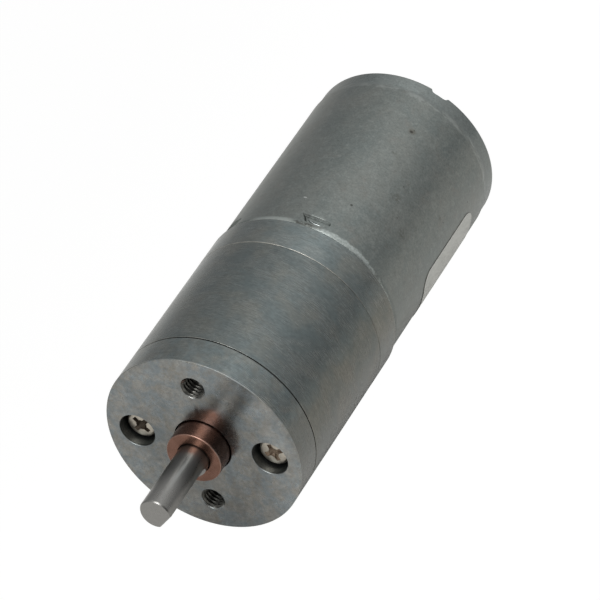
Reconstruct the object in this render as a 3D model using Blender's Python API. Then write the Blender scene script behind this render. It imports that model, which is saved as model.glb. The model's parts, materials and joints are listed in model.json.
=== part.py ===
"""A 25 mm spur gearmotor: a round die-cast gearbox with a central D shaft, on a brushed can motor.

Frame: the origin is the centre of the gearbox's front mounting face. The shaft points along -Y,
the motor lies along +Y, and the two M3 mounting holes are on the vertical line through the centre.
"""

import math

import bmesh
import bpy

MM = 0.001

# Lengths along the axis, in mm from the mounting face
PLATE_END = 4.2
RING_END = 22.4
GEARBOX_END = 27.0
CAN_LENGTH = 30.8
CAN_END = GEARBOX_END + CAN_LENGTH
SHAFT_OUT = 12.6
BUSH_OUT = 2.5
SEAM = 0.06

# Radii, in mm
GEARBOX_R = 12.5
HOUSING_INNER_R = 11.3
CAN_R = 12.2
CAN_INNER_R = 11.25
SHAFT_R = 2.0
BUSH_R = 3.5
PIN_R = 1.0

# Hole positions on the front face, in mm
MOUNT_HOLE_R = 8.5
CASE_SCREW_R = 8.6
MOUNT_HOLE_BORE_R = 1.45
COUNTERBORE_R = 2.25
COUNTERBORE_DEPTH = 2.35
HEAD_TOP = 1.1

# The flat on the output shaft: the way it faces, measured from +Z towards +X
FLAT_ANGLE = math.radians(130)
FLAT_HEIGHT = 1.5
FLAT_START = BUSH_OUT + 0.8

# The can's vents and notches, measured from +Z towards +X
VENT_ANGLES = [13, -47, 193, 133]
NOTCH_ANGLES = [31.4, 211.4]
MAGNET_ANGLES = [31.4, 211.4]
TERMINAL_ANGLE = 121.4

# Gear train: four equal stages between the centre line and two fixed pins
MODULE = 0.3
PINION_TEETH = 12
WHEEL_TEETH = 29
CENTRE_DISTANCE = MODULE * (PINION_TEETH + WHEEL_TEETH) / 2
TOOTH_THINNING = 0.05
LOWER_PIN = math.radians(-55)
UPPER_PIN = math.radians(125)
PLANE_4 = (6.2, 10.6)
PLANE_3 = (11.3, 14.1)
PLANE_2 = (14.6, 17.0)
PLANE_1 = (17.5, 19.7)

LABEL_ANGLES = (93.4, 242.0)
LABEL_SPAN = (36.1, 50.7)
LABEL_CORNER = 2.0

ROUND = 48

for old in list(bpy.data.objects):
    bpy.data.objects.remove(old, do_unlink=True)


def material(name, colour, metallic, roughness):
    found = bpy.data.materials.new(name)
    found.use_nodes = True
    shader = found.node_tree.nodes["Principled BSDF"]
    shader.inputs["Base Color"].default_value = (*colour, 1)
    shader.inputs["Metallic"].default_value = metallic
    shader.inputs["Roughness"].default_value = roughness
    return found


ZINC = material("zinc", (0.36, 0.37, 0.36), 1.0, 0.45)
BRUSHED = material("brushed_zinc", (0.27, 0.30, 0.31), 1.0, 0.38)
CAN_STEEL = material("can_steel", (0.33, 0.35, 0.34), 1.0, 0.42)
STEEL = material("steel", (0.42, 0.41, 0.39), 1.0, 0.28)
NICKEL = material("nickel_screw", (0.55, 0.53, 0.48), 1.0, 0.3)
BRONZE = material("sintered_bronze", (0.45, 0.20, 0.12), 1.0, 0.42)
BRASS = material("brass", (0.62, 0.46, 0.2), 1.0, 0.35)
GEAR_STEEL = material("gear_steel", (0.3, 0.3, 0.3), 1.0, 0.4)
COPPER = material("copper", (0.72, 0.33, 0.18), 1.0, 0.3)
ENAMEL = material("winding_enamel", (0.48, 0.16, 0.06), 0.6, 0.35)
MAGNET = material("ferrite", (0.05, 0.05, 0.055), 0.0, 0.7)
PLASTIC = material("black_plastic", (0.03, 0.03, 0.03), 0.0, 0.5)
CARBON = material("carbon", (0.04, 0.04, 0.04), 0.2, 0.6)
PAPER = material("label_film", (0.55, 0.55, 0.5), 0.0, 0.6)


def finish(name, bm, matter, smooth=True):
    """Makes the object of this mesh, which is closed, and turns its faces outward."""
    bmesh.ops.remove_doubles(bm, verts=bm.verts, dist=1e-7)
    bmesh.ops.recalc_face_normals(bm, faces=bm.faces)
    mesh = bpy.data.meshes.new(name)
    bm.to_mesh(mesh)
    bm.free()
    if smooth:
        mesh.shade_smooth()
        mesh.set_sharp_from_angle(angle=math.radians(35))
    obj = bpy.data.objects.new(name, mesh)
    bpy.context.scene.collection.objects.link(obj)
    if matter:
        mesh.materials.append(matter)
    return obj


def lathe(name, profile, matter=None, steps=ROUND, ring=True, at=(0.0, 0.0)):
    """A turned solid about a line along Y. The profile is (radius, y) in mm. A ring profile is
    closed, and the other kind runs from the axis back to the axis."""
    bm = bmesh.new()
    verts = [bm.verts.new((0, y * MM, r * MM)) for r, y in profile]
    edges = [bm.edges.new(pair) for pair in zip(verts, verts[1:])]
    if ring:
        edges.append(bm.edges.new((verts[-1], verts[0])))
    bmesh.ops.spin(
        bm,
        geom=verts + edges,
        cent=(0, 0, 0),
        axis=(0, 1, 0),
        angle=2 * math.pi,
        steps=steps,
        use_merge=True,
    )
    bmesh.ops.remove_doubles(bm, verts=bm.verts, dist=1e-7)
    bmesh.ops.dissolve_degenerate(bm, dist=1e-8, edges=bm.edges)
    obj = finish(name, bm, matter)
    obj.location = (at[0] * MM, 0, at[1] * MM)
    return obj


def prism(name, loops, low, high, matter=None, at=(0.0, 0.0), smooth=False):
    """The area between these closed (x, z) loops in mm, extruded along Y from low to high."""
    bm = bmesh.new()
    edges = []
    for loop in loops:
        verts = [bm.verts.new((x * MM, low * MM, z * MM)) for x, z in loop]
        edges += [bm.edges.new(pair) for pair in zip(verts, verts[1:] + verts[:1])]
    bmesh.ops.triangle_fill(bm, edges=edges, use_beauty=True, normal=(0, -1, 0))
    made = bmesh.ops.extrude_face_region(bm, geom=bm.faces[:])
    top = [v for v in made["geom"] if isinstance(v, bmesh.types.BMVert)]
    bmesh.ops.translate(bm, verts=top, vec=(0, (high - low) * MM, 0))
    obj = finish(name, bm, matter, smooth)
    obj.location = (at[0] * MM, 0, at[1] * MM)
    return obj


def box(name, size, centre, matter=None, turn=0.0):
    """A block whose (x, y, z) size and centre are in mm, turned about Y so that +Z goes towards +X."""
    bm = bmesh.new()
    bmesh.ops.create_cube(bm, size=1)
    for v in bm.verts:
        x, y, z = (c * s + o for c, s, o in zip(v.co, size, centre))
        v.co = (
            (x * math.cos(turn) + z * math.sin(turn)) * MM,
            y * MM,
            (-x * math.sin(turn) + z * math.cos(turn)) * MM,
        )
    return finish(name, bm, matter, False)


def circle(radius, steps, at=(0.0, 0.0), phase=0.0):
    return [
        (
            at[0] + radius * math.cos(phase + 2 * math.pi * k / steps),
            at[1] + radius * math.sin(phase + 2 * math.pi * k / steps),
        )
        for k in range(steps)
    ]


def boolean(target, other, operation="DIFFERENCE"):
    step = target.modifiers.new(operation.lower() + "_" + other.name, "BOOLEAN")
    step.operation = operation
    step.object = other
    step.solver = "EXACT"
    other.hide_render = True
    other.display_type = "WIRE"


def drill(target, name, radius, low, high, at=(0.0, 0.0), steps=16):
    cutter = lathe(
        "cut_" + name,
        [(0, low), (radius, low), (radius, high), (0, high)],
        steps=steps,
        ring=False,
        at=at,
    )
    # Turned a little, so that no edge of the hole lies along an edge of the turned body
    cutter.rotation_euler = (0, math.radians(3.7 + 2.3 * radius), 0)
    boolean(target, cutter)


def polar(radius, angle):
    """(x, z) at this radius, the angle in degrees from +Z towards +X."""
    turn = math.radians(angle)
    return radius * math.sin(turn), radius * math.cos(turn)


def sleeve(name, inner, outer, low, high, matter, steps=20, at=(0.0, 0.0)):
    return lathe(
        name, [(inner, low), (outer, low), (outer, high), (inner, high)], matter, steps, at=at
    )


# Fixed pins and the holes that they are pressed into
pin_at = {
    "lower": (CENTRE_DISTANCE * math.cos(LOWER_PIN), CENTRE_DISTANCE * math.sin(LOWER_PIN)),
    "upper": (CENTRE_DISTANCE * math.cos(UPPER_PIN), CENTRE_DISTANCE * math.sin(UPPER_PIN)),
}
case_screw_at = {"left": (-CASE_SCREW_R, 0.0), "right": (CASE_SCREW_R, 0.0)}
mount_hole_at = {"top": (0.0, MOUNT_HOLE_R), "bottom": (0.0, -MOUNT_HOLE_R)}
motor_screw_at = {"upper": (0.0, 6.5), "lower": (0.0, -6.5)}

# Gearbox shells
front_plate = lathe(
    "front_plate",
    [
        (3.85, 0.0),
        (GEARBOX_R - 0.2, 0.0),
        (GEARBOX_R, 0.2),
        (GEARBOX_R, PLATE_END - SEAM - 0.08),
        (GEARBOX_R - 0.08, PLATE_END - SEAM),
        (11.1, PLATE_END - SEAM),
        (11.1, 5.2),
        (BUSH_R + 0.05, 5.2),
        (BUSH_R + 0.05, 0.35),
    ],
    ZINC,
)
for where, at in mount_hole_at.items():
    drill(front_plate, "mount_hole_" + where, MOUNT_HOLE_BORE_R, -0.5, 6.0, at, 20)
for where, at in case_screw_at.items():
    drill(front_plate, "counterbore_" + where, COUNTERBORE_R, -0.5, COUNTERBORE_DEPTH, at, 20)
    drill(front_plate, "screw_hole_" + where, 1.2, 2.0, 6.0, at)
for where, at in pin_at.items():
    drill(front_plate, "front_pin_hole_" + where, PIN_R + 0.04, 2.55, 6.0, at)

gear_housing = lathe(
    "gear_housing",
    [
        (HOUSING_INNER_R, PLATE_END + SEAM),
        (GEARBOX_R - 0.08, PLATE_END + SEAM),
        (GEARBOX_R, PLATE_END + SEAM + 0.08),
        (GEARBOX_R, RING_END - SEAM - 0.08),
        (GEARBOX_R - 0.08, RING_END - SEAM),
        (HOUSING_INNER_R, RING_END - SEAM),
    ],
    BRUSHED,
)

rear_plate = lathe(
    "rear_plate",
    [
        (3.4, 21.6),
        (11.1, 21.6),
        (11.1, RING_END + SEAM),
        (GEARBOX_R - 0.08, RING_END + SEAM),
        (GEARBOX_R, RING_END + SEAM + 0.08),
        (GEARBOX_R, GEARBOX_END - 0.15),
        (GEARBOX_R - 0.15, GEARBOX_END),
        (3.4, GEARBOX_END),
    ],
    BRUSHED,
)
for where, at in case_screw_at.items():
    drill(rear_plate, "screw_thread_" + where, 1.06, 21.0, 25.9, at)
for where, at in pin_at.items():
    drill(rear_plate, "rear_pin_hole_" + where, PIN_R + 0.04, 21.0, 24.7, at)
for where, at in motor_screw_at.items():
    drill(rear_plate, "motor_screw_seat_" + where, 2.35, 21.0, 22.3, at)
    drill(rear_plate, "motor_screw_hole_" + where, 1.4, 22.0, 28.0, at)

output_bush = lathe(
    "output_bush",
    [
        (SHAFT_R + 0.05, -BUSH_OUT + 0.25),
        (SHAFT_R + 0.3, -BUSH_OUT),
        (BUSH_R - 0.15, -BUSH_OUT),
        (BUSH_R, -BUSH_OUT + 0.15),
        (BUSH_R, 5.5),
        (SHAFT_R + 0.05, 5.5),
    ],
    BRONZE,
    32,
)

# Output shaft: a D at the front, and a thin rear stub that the stage 2 gear turns on
output_shaft = lathe(
    "output_shaft",
    [
        (0, -SHAFT_OUT),
        (SHAFT_R - 0.25, -SHAFT_OUT),
        (SHAFT_R, -SHAFT_OUT + 0.25),
        (SHAFT_R, 10.9),
        (PIN_R, 10.9),
        (PIN_R, 17.0),
        (0, 17.0),
    ],
    STEEL,
    32,
    ring=False,
)
flat_length = SHAFT_OUT - FLAT_START
boolean(
    output_shaft,
    box(
        "cut_shaft_flat",
        (6, flat_length + 1, 3),
        (0, -FLAT_START - flat_length / 2 - 0.5, FLAT_HEIGHT + 1.5),
        turn=FLAT_ANGLE,
    ),
)


# Case screws and motor screws, with cross recesses
def screw(name, top, head_height, head_r, shank_r, end, at, matter, recess):
    under = top + head_height
    obj = lathe(
        name,
        [
            (0, top),
            (head_r * 0.55, top + 0.02),
            (head_r * 0.85, top + 0.15),
            (head_r, top + 0.45),
            (head_r, under),
            (shank_r, under),
            (shank_r, end - 0.3),
            (shank_r - 0.3, end),
            (0, end),
        ],
        matter,
        16,
        ring=False,
        at=at,
    )
    for arm, turn in (("a", 0.0), ("b", 90.0)):
        cutter = box(
            "cut_" + name + "_recess_" + arm,
            (recess, 1.6, recess * 0.28),
            (0, top, 0),
            turn=math.radians(turn + 20),
        )
        cutter.location = (at[0] * MM, 0, at[1] * MM)
        boolean(obj, cutter)
    return obj


for where, at in case_screw_at.items():
    screw("case_screw_" + where, HEAD_TOP, 1.2, 1.85, 1.0, 25.6, at, NICKEL, 2.3)
for where, at in motor_screw_at.items():
    screw("motor_screw_" + where, 20.75, 1.5, 2.1, 1.2, 28.9, at, STEEL, 2.4)

for where, at in pin_at.items():
    lathe(
        "gear_pin_" + where,
        [
            (0, 2.7),
            (PIN_R - 0.1, 2.7),
            (PIN_R, 2.8),
            (PIN_R, 24.4),
            (PIN_R - 0.1, 24.5),
            (0, 24.5),
        ],
        STEEL,
        16,
        ring=False,
        at=at,
    )

sleeve("output_thrust_washer", 2.1, 3.4, 5.65, 6.05, BRASS, 16)
sleeve("lower_pin_front_spacer", 1.05, 1.4, 5.35, 14.45, STEEL, 16, pin_at["lower"])
sleeve("lower_pin_rear_spacer", 1.05, 1.4, 20.1, 21.4, STEEL, 16, pin_at["lower"])
sleeve("upper_pin_front_spacer", 1.05, 1.4, 5.35, 6.05, STEEL, 16, pin_at["upper"])
sleeve("upper_pin_rear_spacer", 1.05, 1.4, 14.5, 21.4, STEEL, 16, pin_at["upper"])


# Gears
def involute(angle):
    return math.tan(angle) - angle


def gear_outline(teeth, phase, addendum):
    """One tooth is centred on the angle phase. Its flanks run from the root circle over the pitch
    circle to the tip, and it is thinner than half the pitch by the backlash."""
    pitch = MODULE * teeth / 2
    base = pitch * math.cos(math.radians(20))
    root = pitch - 1.25 * MODULE
    tip = pitch + addendum * MODULE

    def half(radius):
        pressure = math.acos(min(1, base / max(radius, base)))
        thickness = math.pi * MODULE / 2 - TOOTH_THINNING
        return thickness / (2 * pitch) + involute(math.radians(20)) - involute(pressure)

    flank = [(root, half(base)), (pitch, half(pitch)), (tip, half(tip))]
    points = []
    for k in range(teeth):
        middle = phase + 2 * math.pi * k / teeth
        for radius, spread in flank:
            points.append(
                (radius * math.cos(middle - spread), radius * math.sin(middle - spread))
            )
        for radius, spread in reversed(flank):
            points.append(
                (radius * math.cos(middle + spread), radius * math.sin(middle + spread))
            )
    return points


def wheel_phase(towards, pinion_phase=0.0):
    """The phase of the wheel that meshes with a pinion, the wheel's centre being at the angle towards from the pinion's."""
    into_pitch = (towards - pinion_phase) * PINION_TEETH / (2 * math.pi)
    return towards + math.pi - (2 * math.pi / WHEEL_TEETH) * (0.5 - into_pitch)


def wheel(name, plane, bore, steps, phase, at, matter):
    return prism(
        name,
        [gear_outline(WHEEL_TEETH, phase, 0.95), circle(bore, steps)],
        *plane,
        matter,
        at,
    )


def pinion(name, plane, hub_end, at, matter):
    """A pinion with a plain hub behind it, which its wheel is pressed onto."""
    obj = prism(
        name,
        [gear_outline(PINION_TEETH, 0.0, 1.0), circle(PIN_R + 0.05, 16)],
        *plane,
        matter,
        at,
    )
    if hub_end:
        hub = sleeve(
            "join_" + name + "_hub", PIN_R + 0.05, 1.38, plane[1] - 0.3, hub_end, None, 16, at
        )
        hub.rotation_euler = (0, math.radians(90), 0)
        boolean(obj, hub, "UNION")
    return obj


wheel("output_gear", PLANE_4, SHAFT_R + 0.05, 24, wheel_phase(UPPER_PIN + math.pi), (0, 0), GEAR_STEEL)
pinion("stage3_pinion", (PLANE_4[0], 11.0), 14.2, pin_at["upper"], GEAR_STEEL)
wheel("stage3_wheel", PLANE_3, 1.43, 16, wheel_phase(UPPER_PIN), pin_at["upper"], BRASS)
pinion("stage2_pinion", (11.15, 14.3), 17.1, (0, 0), GEAR_STEEL)
wheel("stage2_wheel", PLANE_2, 1.43, 16, wheel_phase(LOWER_PIN + math.pi), (0, 0), BRASS)
pinion("stage1_pinion", (14.6, 17.2), 19.8, pin_at["lower"], GEAR_STEEL)
wheel("stage1_wheel", PLANE_1, 1.43, 16, wheel_phase(LOWER_PIN), pin_at["lower"], BRASS)
pinion("motor_pinion", (17.4, 20.2), None, (0, 0), BRASS)

# Motor can, deep-drawn: a bearing boss and a rounded shoulder at the front, a necked rim at the rear
motor_can = lathe(
    "motor_can",
    [
        (1.5, 24.5),
        (3.1, 24.5),
        (3.1, GEARBOX_END + 0.06),
        (CAN_R - 0.8, GEARBOX_END + 0.06),
        (CAN_R - 0.25, GEARBOX_END + 0.3),
        (CAN_R, GEARBOX_END + 0.86),
        (CAN_R, CAN_END - 2.3),
        (CAN_R - 0.15, CAN_END - 2.1),
        (CAN_R - 0.15, CAN_END - 0.15),
        (CAN_R - 0.3, CAN_END),
        (CAN_INNER_R, CAN_END),
        (CAN_INNER_R, GEARBOX_END + 1.05),
        (2.65, GEARBOX_END + 1.05),
        (2.65, 25.2),
        (1.5, 25.2),
    ],
    CAN_STEEL,
)
for number, angle in enumerate(VENT_ANGLES):
    boolean(
        motor_can,
        box("cut_vent_%d" % number, (3.7, 1.1, 2.4), (0, 28.75, 12.0), turn=math.radians(angle)),
    )
for number, angle in enumerate(NOTCH_ANGLES):
    boolean(
        motor_can,
        box(
            "cut_notch_%d" % number,
            (2.2, 2.0, 2.4),
            (0, CAN_END + 0.45, 12.0),
            turn=math.radians(angle),
        ),
    )
for where, at in motor_screw_at.items():
    drill(motor_can, "can_thread_" + where, 1.26, 26.5, 28.6, at)

sleeve("front_bearing", 1.08, 2.6, 25.3, 27.8, BRONZE)


def arc_loop(inner, outer, start, end, steps):
    """A band between two radii, from start to end in degrees from +Z towards +X."""
    turns = [start + (end - start) * k / steps for k in range(steps + 1)]
    return [polar(outer, t) for t in turns] + [polar(inner, t) for t in reversed(turns)]


for side, angle in zip("ab", MAGNET_ANGLES):
    prism(
        "magnet_" + side,
        [arc_loop(8.7, 11.05, angle - 58, angle + 58, 14)],
        33.0,
        50.0,
        MAGNET,
        smooth=True,
    )


def spring_loop(middle):
    """A bent wire that spreads the two magnets apart: an arc against the can, with a leg at each end."""
    outer = [polar(11.05, middle - 27 + 54 * k / 8) for k in range(9)]
    legs_in = [polar(9.4, middle + 29.0), polar(9.4, middle + 26.8)]
    inner = [polar(10.6, middle + 25 - 50 * k / 8) for k in range(9)]
    legs_back = [polar(9.4, middle - 26.8), polar(9.4, middle - 29.0)]
    return outer + legs_in + inner + legs_back


prism("magnet_spring", [spring_loop(TERMINAL_ANGLE)], 35.0, 48.0, STEEL)

# Armature: shaft, three-pole core, windings and commutator
lathe(
    "armature_shaft",
    [
        (0, 17.35),
        (PIN_R - 0.1, 17.35),
        (PIN_R, 17.45),
        (PIN_R, 57.9),
        (PIN_R - 0.1, 58.0),
        (0, 58.0),
    ],
    STEEL,
    16,
    ring=False,
)


def core_loop():
    """Three poles: a hub, a neck for each winding, and a shoe that spans 100 degrees."""
    points = []
    for pole in range(3):
        middle = 120 * pole
        turn = math.radians(middle)

        def place(across, out, turn=turn):
            return (
                across * math.cos(turn) + out * math.sin(turn),
                -across * math.sin(turn) + out * math.cos(turn),
            )

        points += [place(-1.5, 2.2), place(-1.5, 7.05)]
        points += [polar(7.2, middle - 30), polar(7.5, middle - 50)]
        points += [polar(8.2, middle - 50 + 100 * k / 8) for k in range(9)]
        points += [polar(7.5, middle + 50), polar(7.2, middle + 30)]
        points += [place(1.5, 7.05), place(1.5, 2.2)]
    return points


prism("armature_core", [core_loop(), circle(PIN_R + 0.05, 16)], 35.5, 48.5, GEAR_STEEL)

for pole, letter in enumerate("abc"):
    coil = box("winding_" + letter, (7.8, 17.2, 2.5), (0, 42.0, 4.35), ENAMEL)
    edges = coil.modifiers.new("wound_corners", "BEVEL")
    edges.width = 0.6 * MM
    edges.segments = 1
    boolean(coil, box("cut_winding_" + letter, (3.3, 13.3, 8), (0, 42.0, 4.35)))
    coil.rotation_euler = (0, math.radians(120 * pole), 0)
    bpy.data.objects["cut_winding_" + letter].rotation_euler = coil.rotation_euler

lathe(
    "commutator_hub",
    [
        (PIN_R + 0.05, 50.9),
        (3.1, 50.9),
        (3.1, 51.4),
        (2.2, 51.4),
        (2.2, 54.3),
        (PIN_R + 0.05, 54.3),
    ],
    PLASTIC,
    20,
)
for pole, letter in enumerate("abc"):
    prism(
        "commutator_segment_" + letter,
        [arc_loop(2.26, 2.75, 120 * pole + 8, 120 * pole + 112, 8)],
        51.5,
        54.0,
        COPPER,
        smooth=True,
    )

# End cap with its bearing, brushes and terminals, which lie on the line of TERMINAL_ANGLE
cap_turn = math.radians(TERMINAL_ANGLE)
end_cap = lathe(
    "end_cap",
    [
        (2.65, 55.4),
        (11.1, 55.4),
        (11.1, 57.2),
        (5.1, 57.2),
        (4.8, 59.2),
        (1.6, 59.2),
        (1.6, 58.45),
        (2.65, 58.45),
    ],
    PLASTIC,
    40,
)
sleeve("rear_bearing", 1.08, 2.6, 55.5, 58.3, BRONZE)
for sign, side in ((1, "a"), (-1, "b")):
    boolean(
        end_cap,
        box("cut_terminal_slot_" + side, (2.9, 4, 0.7), (0, 56.5, 8.0 * sign), turn=cap_turn),
    )
    blade = box("terminal_" + side, (2.3, 7.0, 0.4), (0, 58.3, 8.0 * sign), COPPER, cap_turn)
    x, z = polar(8.0 * sign, TERMINAL_ANGLE)
    hole = lathe(
        "cut_terminal_hole_" + side,
        [(0, -1), (0.55, -1), (0.55, 1), (0, 1)],
        steps=12,
        ring=False,
    )
    hole.rotation_euler = (math.radians(90), 0, 0)
    hole.rotation_mode = "XYZ"
    hole.parent = bpy.data.objects.new("terminal_hole_frame_" + side, None)
    bpy.context.scene.collection.objects.link(hole.parent)
    hole.parent.rotation_euler = (0, cap_turn, 0)
    hole.parent.location = (x * MM, 60.6 * MM, z * MM)
    boolean(blade, hole)

    # The brush spring is one bent strip: a foot at the terminal, a leg along the axis and a leaf
    # that runs past the commutator and presses the brush on it.
    leaf = box("brush_arm_" + side, (0.3, 1.8, 8.8), (-5.0 * sign, 52.9, 3.3 * sign), COPPER, cap_turn)
    leg = box("join_arm_leg_" + side, (0.3, 2.9, 1.2), (-5.0 * sign, 53.45, 7.3 * sign), None, cap_turn)
    foot = box("join_arm_foot_" + side, (3.6, 0.3, 1.2), (-3.35 * sign, 54.8, 7.3 * sign), None, cap_turn)
    boolean(leaf, leg, "UNION")
    boolean(leaf, foot, "UNION")
    box("brush_" + side, (1.85, 1.7, 1.9), (-3.8 * sign, 52.9, 0), CARBON, cap_turn)


# Label: a thin film round part of the can, with rounded corners
def label():
    inner, outer = CAN_R + 0.05, CAN_R + 0.13
    start, end = LABEL_ANGLES
    around = math.radians(end - start) * outer
    corner = [LABEL_CORNER * (1 - math.cos(math.radians(90 * k / 5))) for k in range(6)]
    middle = [LABEL_CORNER + (around - 2 * LABEL_CORNER) * k / 20 for k in range(1, 20)]
    along = corner + middle + [around - c for c in reversed(corner)]
    bm = bmesh.new()
    columns = []
    for s in along:
        from_end = min(s, around - s, LABEL_CORNER)
        inset = LABEL_CORNER - math.sqrt(max(0, LABEL_CORNER**2 - (LABEL_CORNER - from_end) ** 2))
        angle = start + math.degrees(s / outer)
        column = []
        for radius in (inner, outer):
            x, z = polar(radius, angle)
            for y in (LABEL_SPAN[0] + inset, LABEL_SPAN[1] - inset):
                column.append(bm.verts.new((x * MM, y * MM, z * MM)))
        columns.append(column)
    for (a, b, c, d), (e, f, g, h) in zip(columns, columns[1:]):
        for face in ((a, e, f, b), (c, d, h, g), (a, c, g, e), (b, f, h, d)):
            bm.faces.new(face)
    for a, b, c, d in (columns[0], columns[-1]):
        bm.faces.new((a, b, d, c))
    return finish("motor_label", bm, PAPER)


label()

# Bodies that turn have their origins on their own axes, which the lathe and prism calls above
# already give; the armature and output pieces have theirs on the centre line.
bpy.context.view_layer.update()
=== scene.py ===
"""Looks for the 25 mm gearmotor: smooth high-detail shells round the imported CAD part, procedural
metals, a plain floor, soft light and the camera. Lengths below are in mm unless they say otherwise."""

import json
import math

import bmesh
import bpy
from mathutils import Matrix, Vector


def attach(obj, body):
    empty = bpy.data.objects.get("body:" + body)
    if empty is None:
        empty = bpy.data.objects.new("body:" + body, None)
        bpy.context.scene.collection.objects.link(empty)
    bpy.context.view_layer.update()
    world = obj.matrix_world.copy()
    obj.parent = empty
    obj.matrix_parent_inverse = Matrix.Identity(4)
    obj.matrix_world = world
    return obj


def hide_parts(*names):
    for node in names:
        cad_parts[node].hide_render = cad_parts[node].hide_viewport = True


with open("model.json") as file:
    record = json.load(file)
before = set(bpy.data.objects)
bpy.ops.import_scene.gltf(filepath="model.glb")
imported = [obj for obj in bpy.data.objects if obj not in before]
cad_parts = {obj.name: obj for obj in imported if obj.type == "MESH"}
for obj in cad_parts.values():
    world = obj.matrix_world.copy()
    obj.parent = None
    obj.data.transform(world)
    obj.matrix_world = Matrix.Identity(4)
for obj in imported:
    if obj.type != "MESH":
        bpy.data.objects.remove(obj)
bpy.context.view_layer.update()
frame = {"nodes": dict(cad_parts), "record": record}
for plain in list(bpy.data.materials):
    bpy.data.materials.remove(plain)
MM = 0.001

# Sizes of the CAD part that the shells below follow
PLATE_END = 4.2
RING_END = 22.4
GEARBOX_END = 27.0
CAN_END = 57.8
SHAFT_OUT = 12.6
BUSH_OUT = 2.5
GEARBOX_R = 12.5
HOUSING_INNER_R = 11.3
CAN_R = 12.2
CAN_INNER_R = 11.25
SHAFT_R = 2.0
BUSH_R = 3.5
FLAT_ANGLE = 130.0
FLAT_HEIGHT = 1.5
FLAT_START = 3.3
VENT_ANGLES = (13.4, -46.6, 193.4, 133.4)
NOTCH_ANGLES = (31.4, 211.4)
TERMINAL_ANGLE = 121.4
PIN_AT = ((3.5274, -5.0377), (-3.5274, 5.0377))
CASE_SCREWS = {"left": (-8.6, 44.0), "right": (8.6, 65.0)}


# ---------------------------------------------------------------- mesh helpers
def polar(radius, angle):
    """(x, z) at this radius, the angle in degrees from +Z towards +X."""
    turn = math.radians(angle)
    return radius * math.sin(turn), radius * math.cos(turn)


def rounded(points, radius, steps=4, closed=True):
    """The profile with each corner rounded. A third value in a point is that corner's own radius."""
    out = []
    count = len(points)
    for i, p in enumerate(points):
        r = p[2] if len(p) > 2 else radius
        b = Vector(p[:2])
        if r <= 0 or (not closed and i in (0, count - 1)):
            out.append(tuple(b))
            continue
        a, c = Vector(points[i - 1][:2]), Vector(points[(i + 1) % count][:2])
        u, v = a - b, c - b
        long_u, long_v = u.length, v.length
        u.normalize()
        v.normalize()
        opening = math.acos(max(-1.0, min(1.0, u.dot(v))))
        if opening > math.pi - 0.02 or opening < 0.02:
            out.append(tuple(b))
            continue
        reach = min(r / math.tan(opening / 2), 0.46 * long_u, 0.46 * long_v)
        fillet = reach * math.tan(opening / 2)
        centre = b + (u + v).normalized() * fillet / math.sin(opening / 2)
        start = b + u * reach - centre
        end = b + v * reach - centre
        sweep = math.pi - opening
        if start.x * end.y - start.y * end.x < 0:
            sweep = -sweep
        for k in range(steps + 1):
            t = sweep * k / steps
            out.append(
                (
                    centre.x + start.x * math.cos(t) - start.y * math.sin(t),
                    centre.y + start.x * math.sin(t) + start.y * math.cos(t),
                )
            )
    return out


def made(name, bm, matter=None, smooth=True):
    bmesh.ops.recalc_face_normals(bm, faces=bm.faces)
    if bm.calc_volume(signed=True) < 0:
        bmesh.ops.reverse_faces(bm, faces=bm.faces)
    mesh = bpy.data.meshes.new(name)
    bm.to_mesh(mesh)
    bm.free()
    if smooth:
        mesh.shade_smooth()
    obj = bpy.data.objects.new(name, mesh)
    bpy.context.scene.collection.objects.link(obj)
    if matter:
        mesh.materials.append(matter)
    return obj


def turned(name, profile, steps=192, ring=True, at=(0.0, 0.0), phase=0.0, matter=None):
    """A turned solid about a line along Y. The profile is (radius, y); a ring profile is closed,
    and the other kind starts and ends on the axis."""
    bm = bmesh.new()
    loops = []
    for r, y in profile:
        if r < 1e-9:
            loops.append([bm.verts.new((at[0] * MM, y * MM, at[1] * MM))])
            continue
        loops.append(
            [
                bm.verts.new(
                    (
                        (at[0] + r * math.sin(phase + 2 * math.pi * k / steps)) * MM,
                        y * MM,
                        (at[1] + r * math.cos(phase + 2 * math.pi * k / steps)) * MM,
                    )
                )
                for k in range(steps)
            ]
        )
    pairs = list(zip(loops, loops[1:]))
    if ring:
        pairs.append((loops[-1], loops[0]))
    for a, b in pairs:
        for k in range(steps):
            n = (k + 1) % steps
            if len(a) == 1 and len(b) == 1:
                continue
            if len(a) == 1:
                bm.faces.new((a[0], b[k], b[n]))
            elif len(b) == 1:
                bm.faces.new((a[k], a[n], b[0]))
            else:
                bm.faces.new((a[k], a[n], b[n], b[k]))
    return made(name, bm, matter)


def local(angle, across, y, out):
    """The point across (towards larger angles), along Y and out from the axis, at this angle."""
    t = math.radians(angle)
    return Vector(
        (
            (across * math.cos(t) + out * math.sin(t)) * MM,
            y * MM,
            (-across * math.sin(t) + out * math.cos(t)) * MM,
        )
    )


def loft(name, sections, place=lambda p: Vector(p) * MM, matter=None, smooth=False):
    """A closed solid through these sections, each a loop with the same number of points."""
    bm = bmesh.new()
    rings = [[bm.verts.new(place(p)) for p in section] for section in sections]
    count = len(rings[0])
    for a, b in zip(rings, rings[1:]):
        for k in range(count):
            n = (k + 1) % count
            bm.faces.new((a[k], a[n], b[n], b[k]))
    bm.faces.new(rings[0])
    bm.faces.new(list(reversed(rings[-1])))
    return made(name, bm, matter, smooth)


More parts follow.
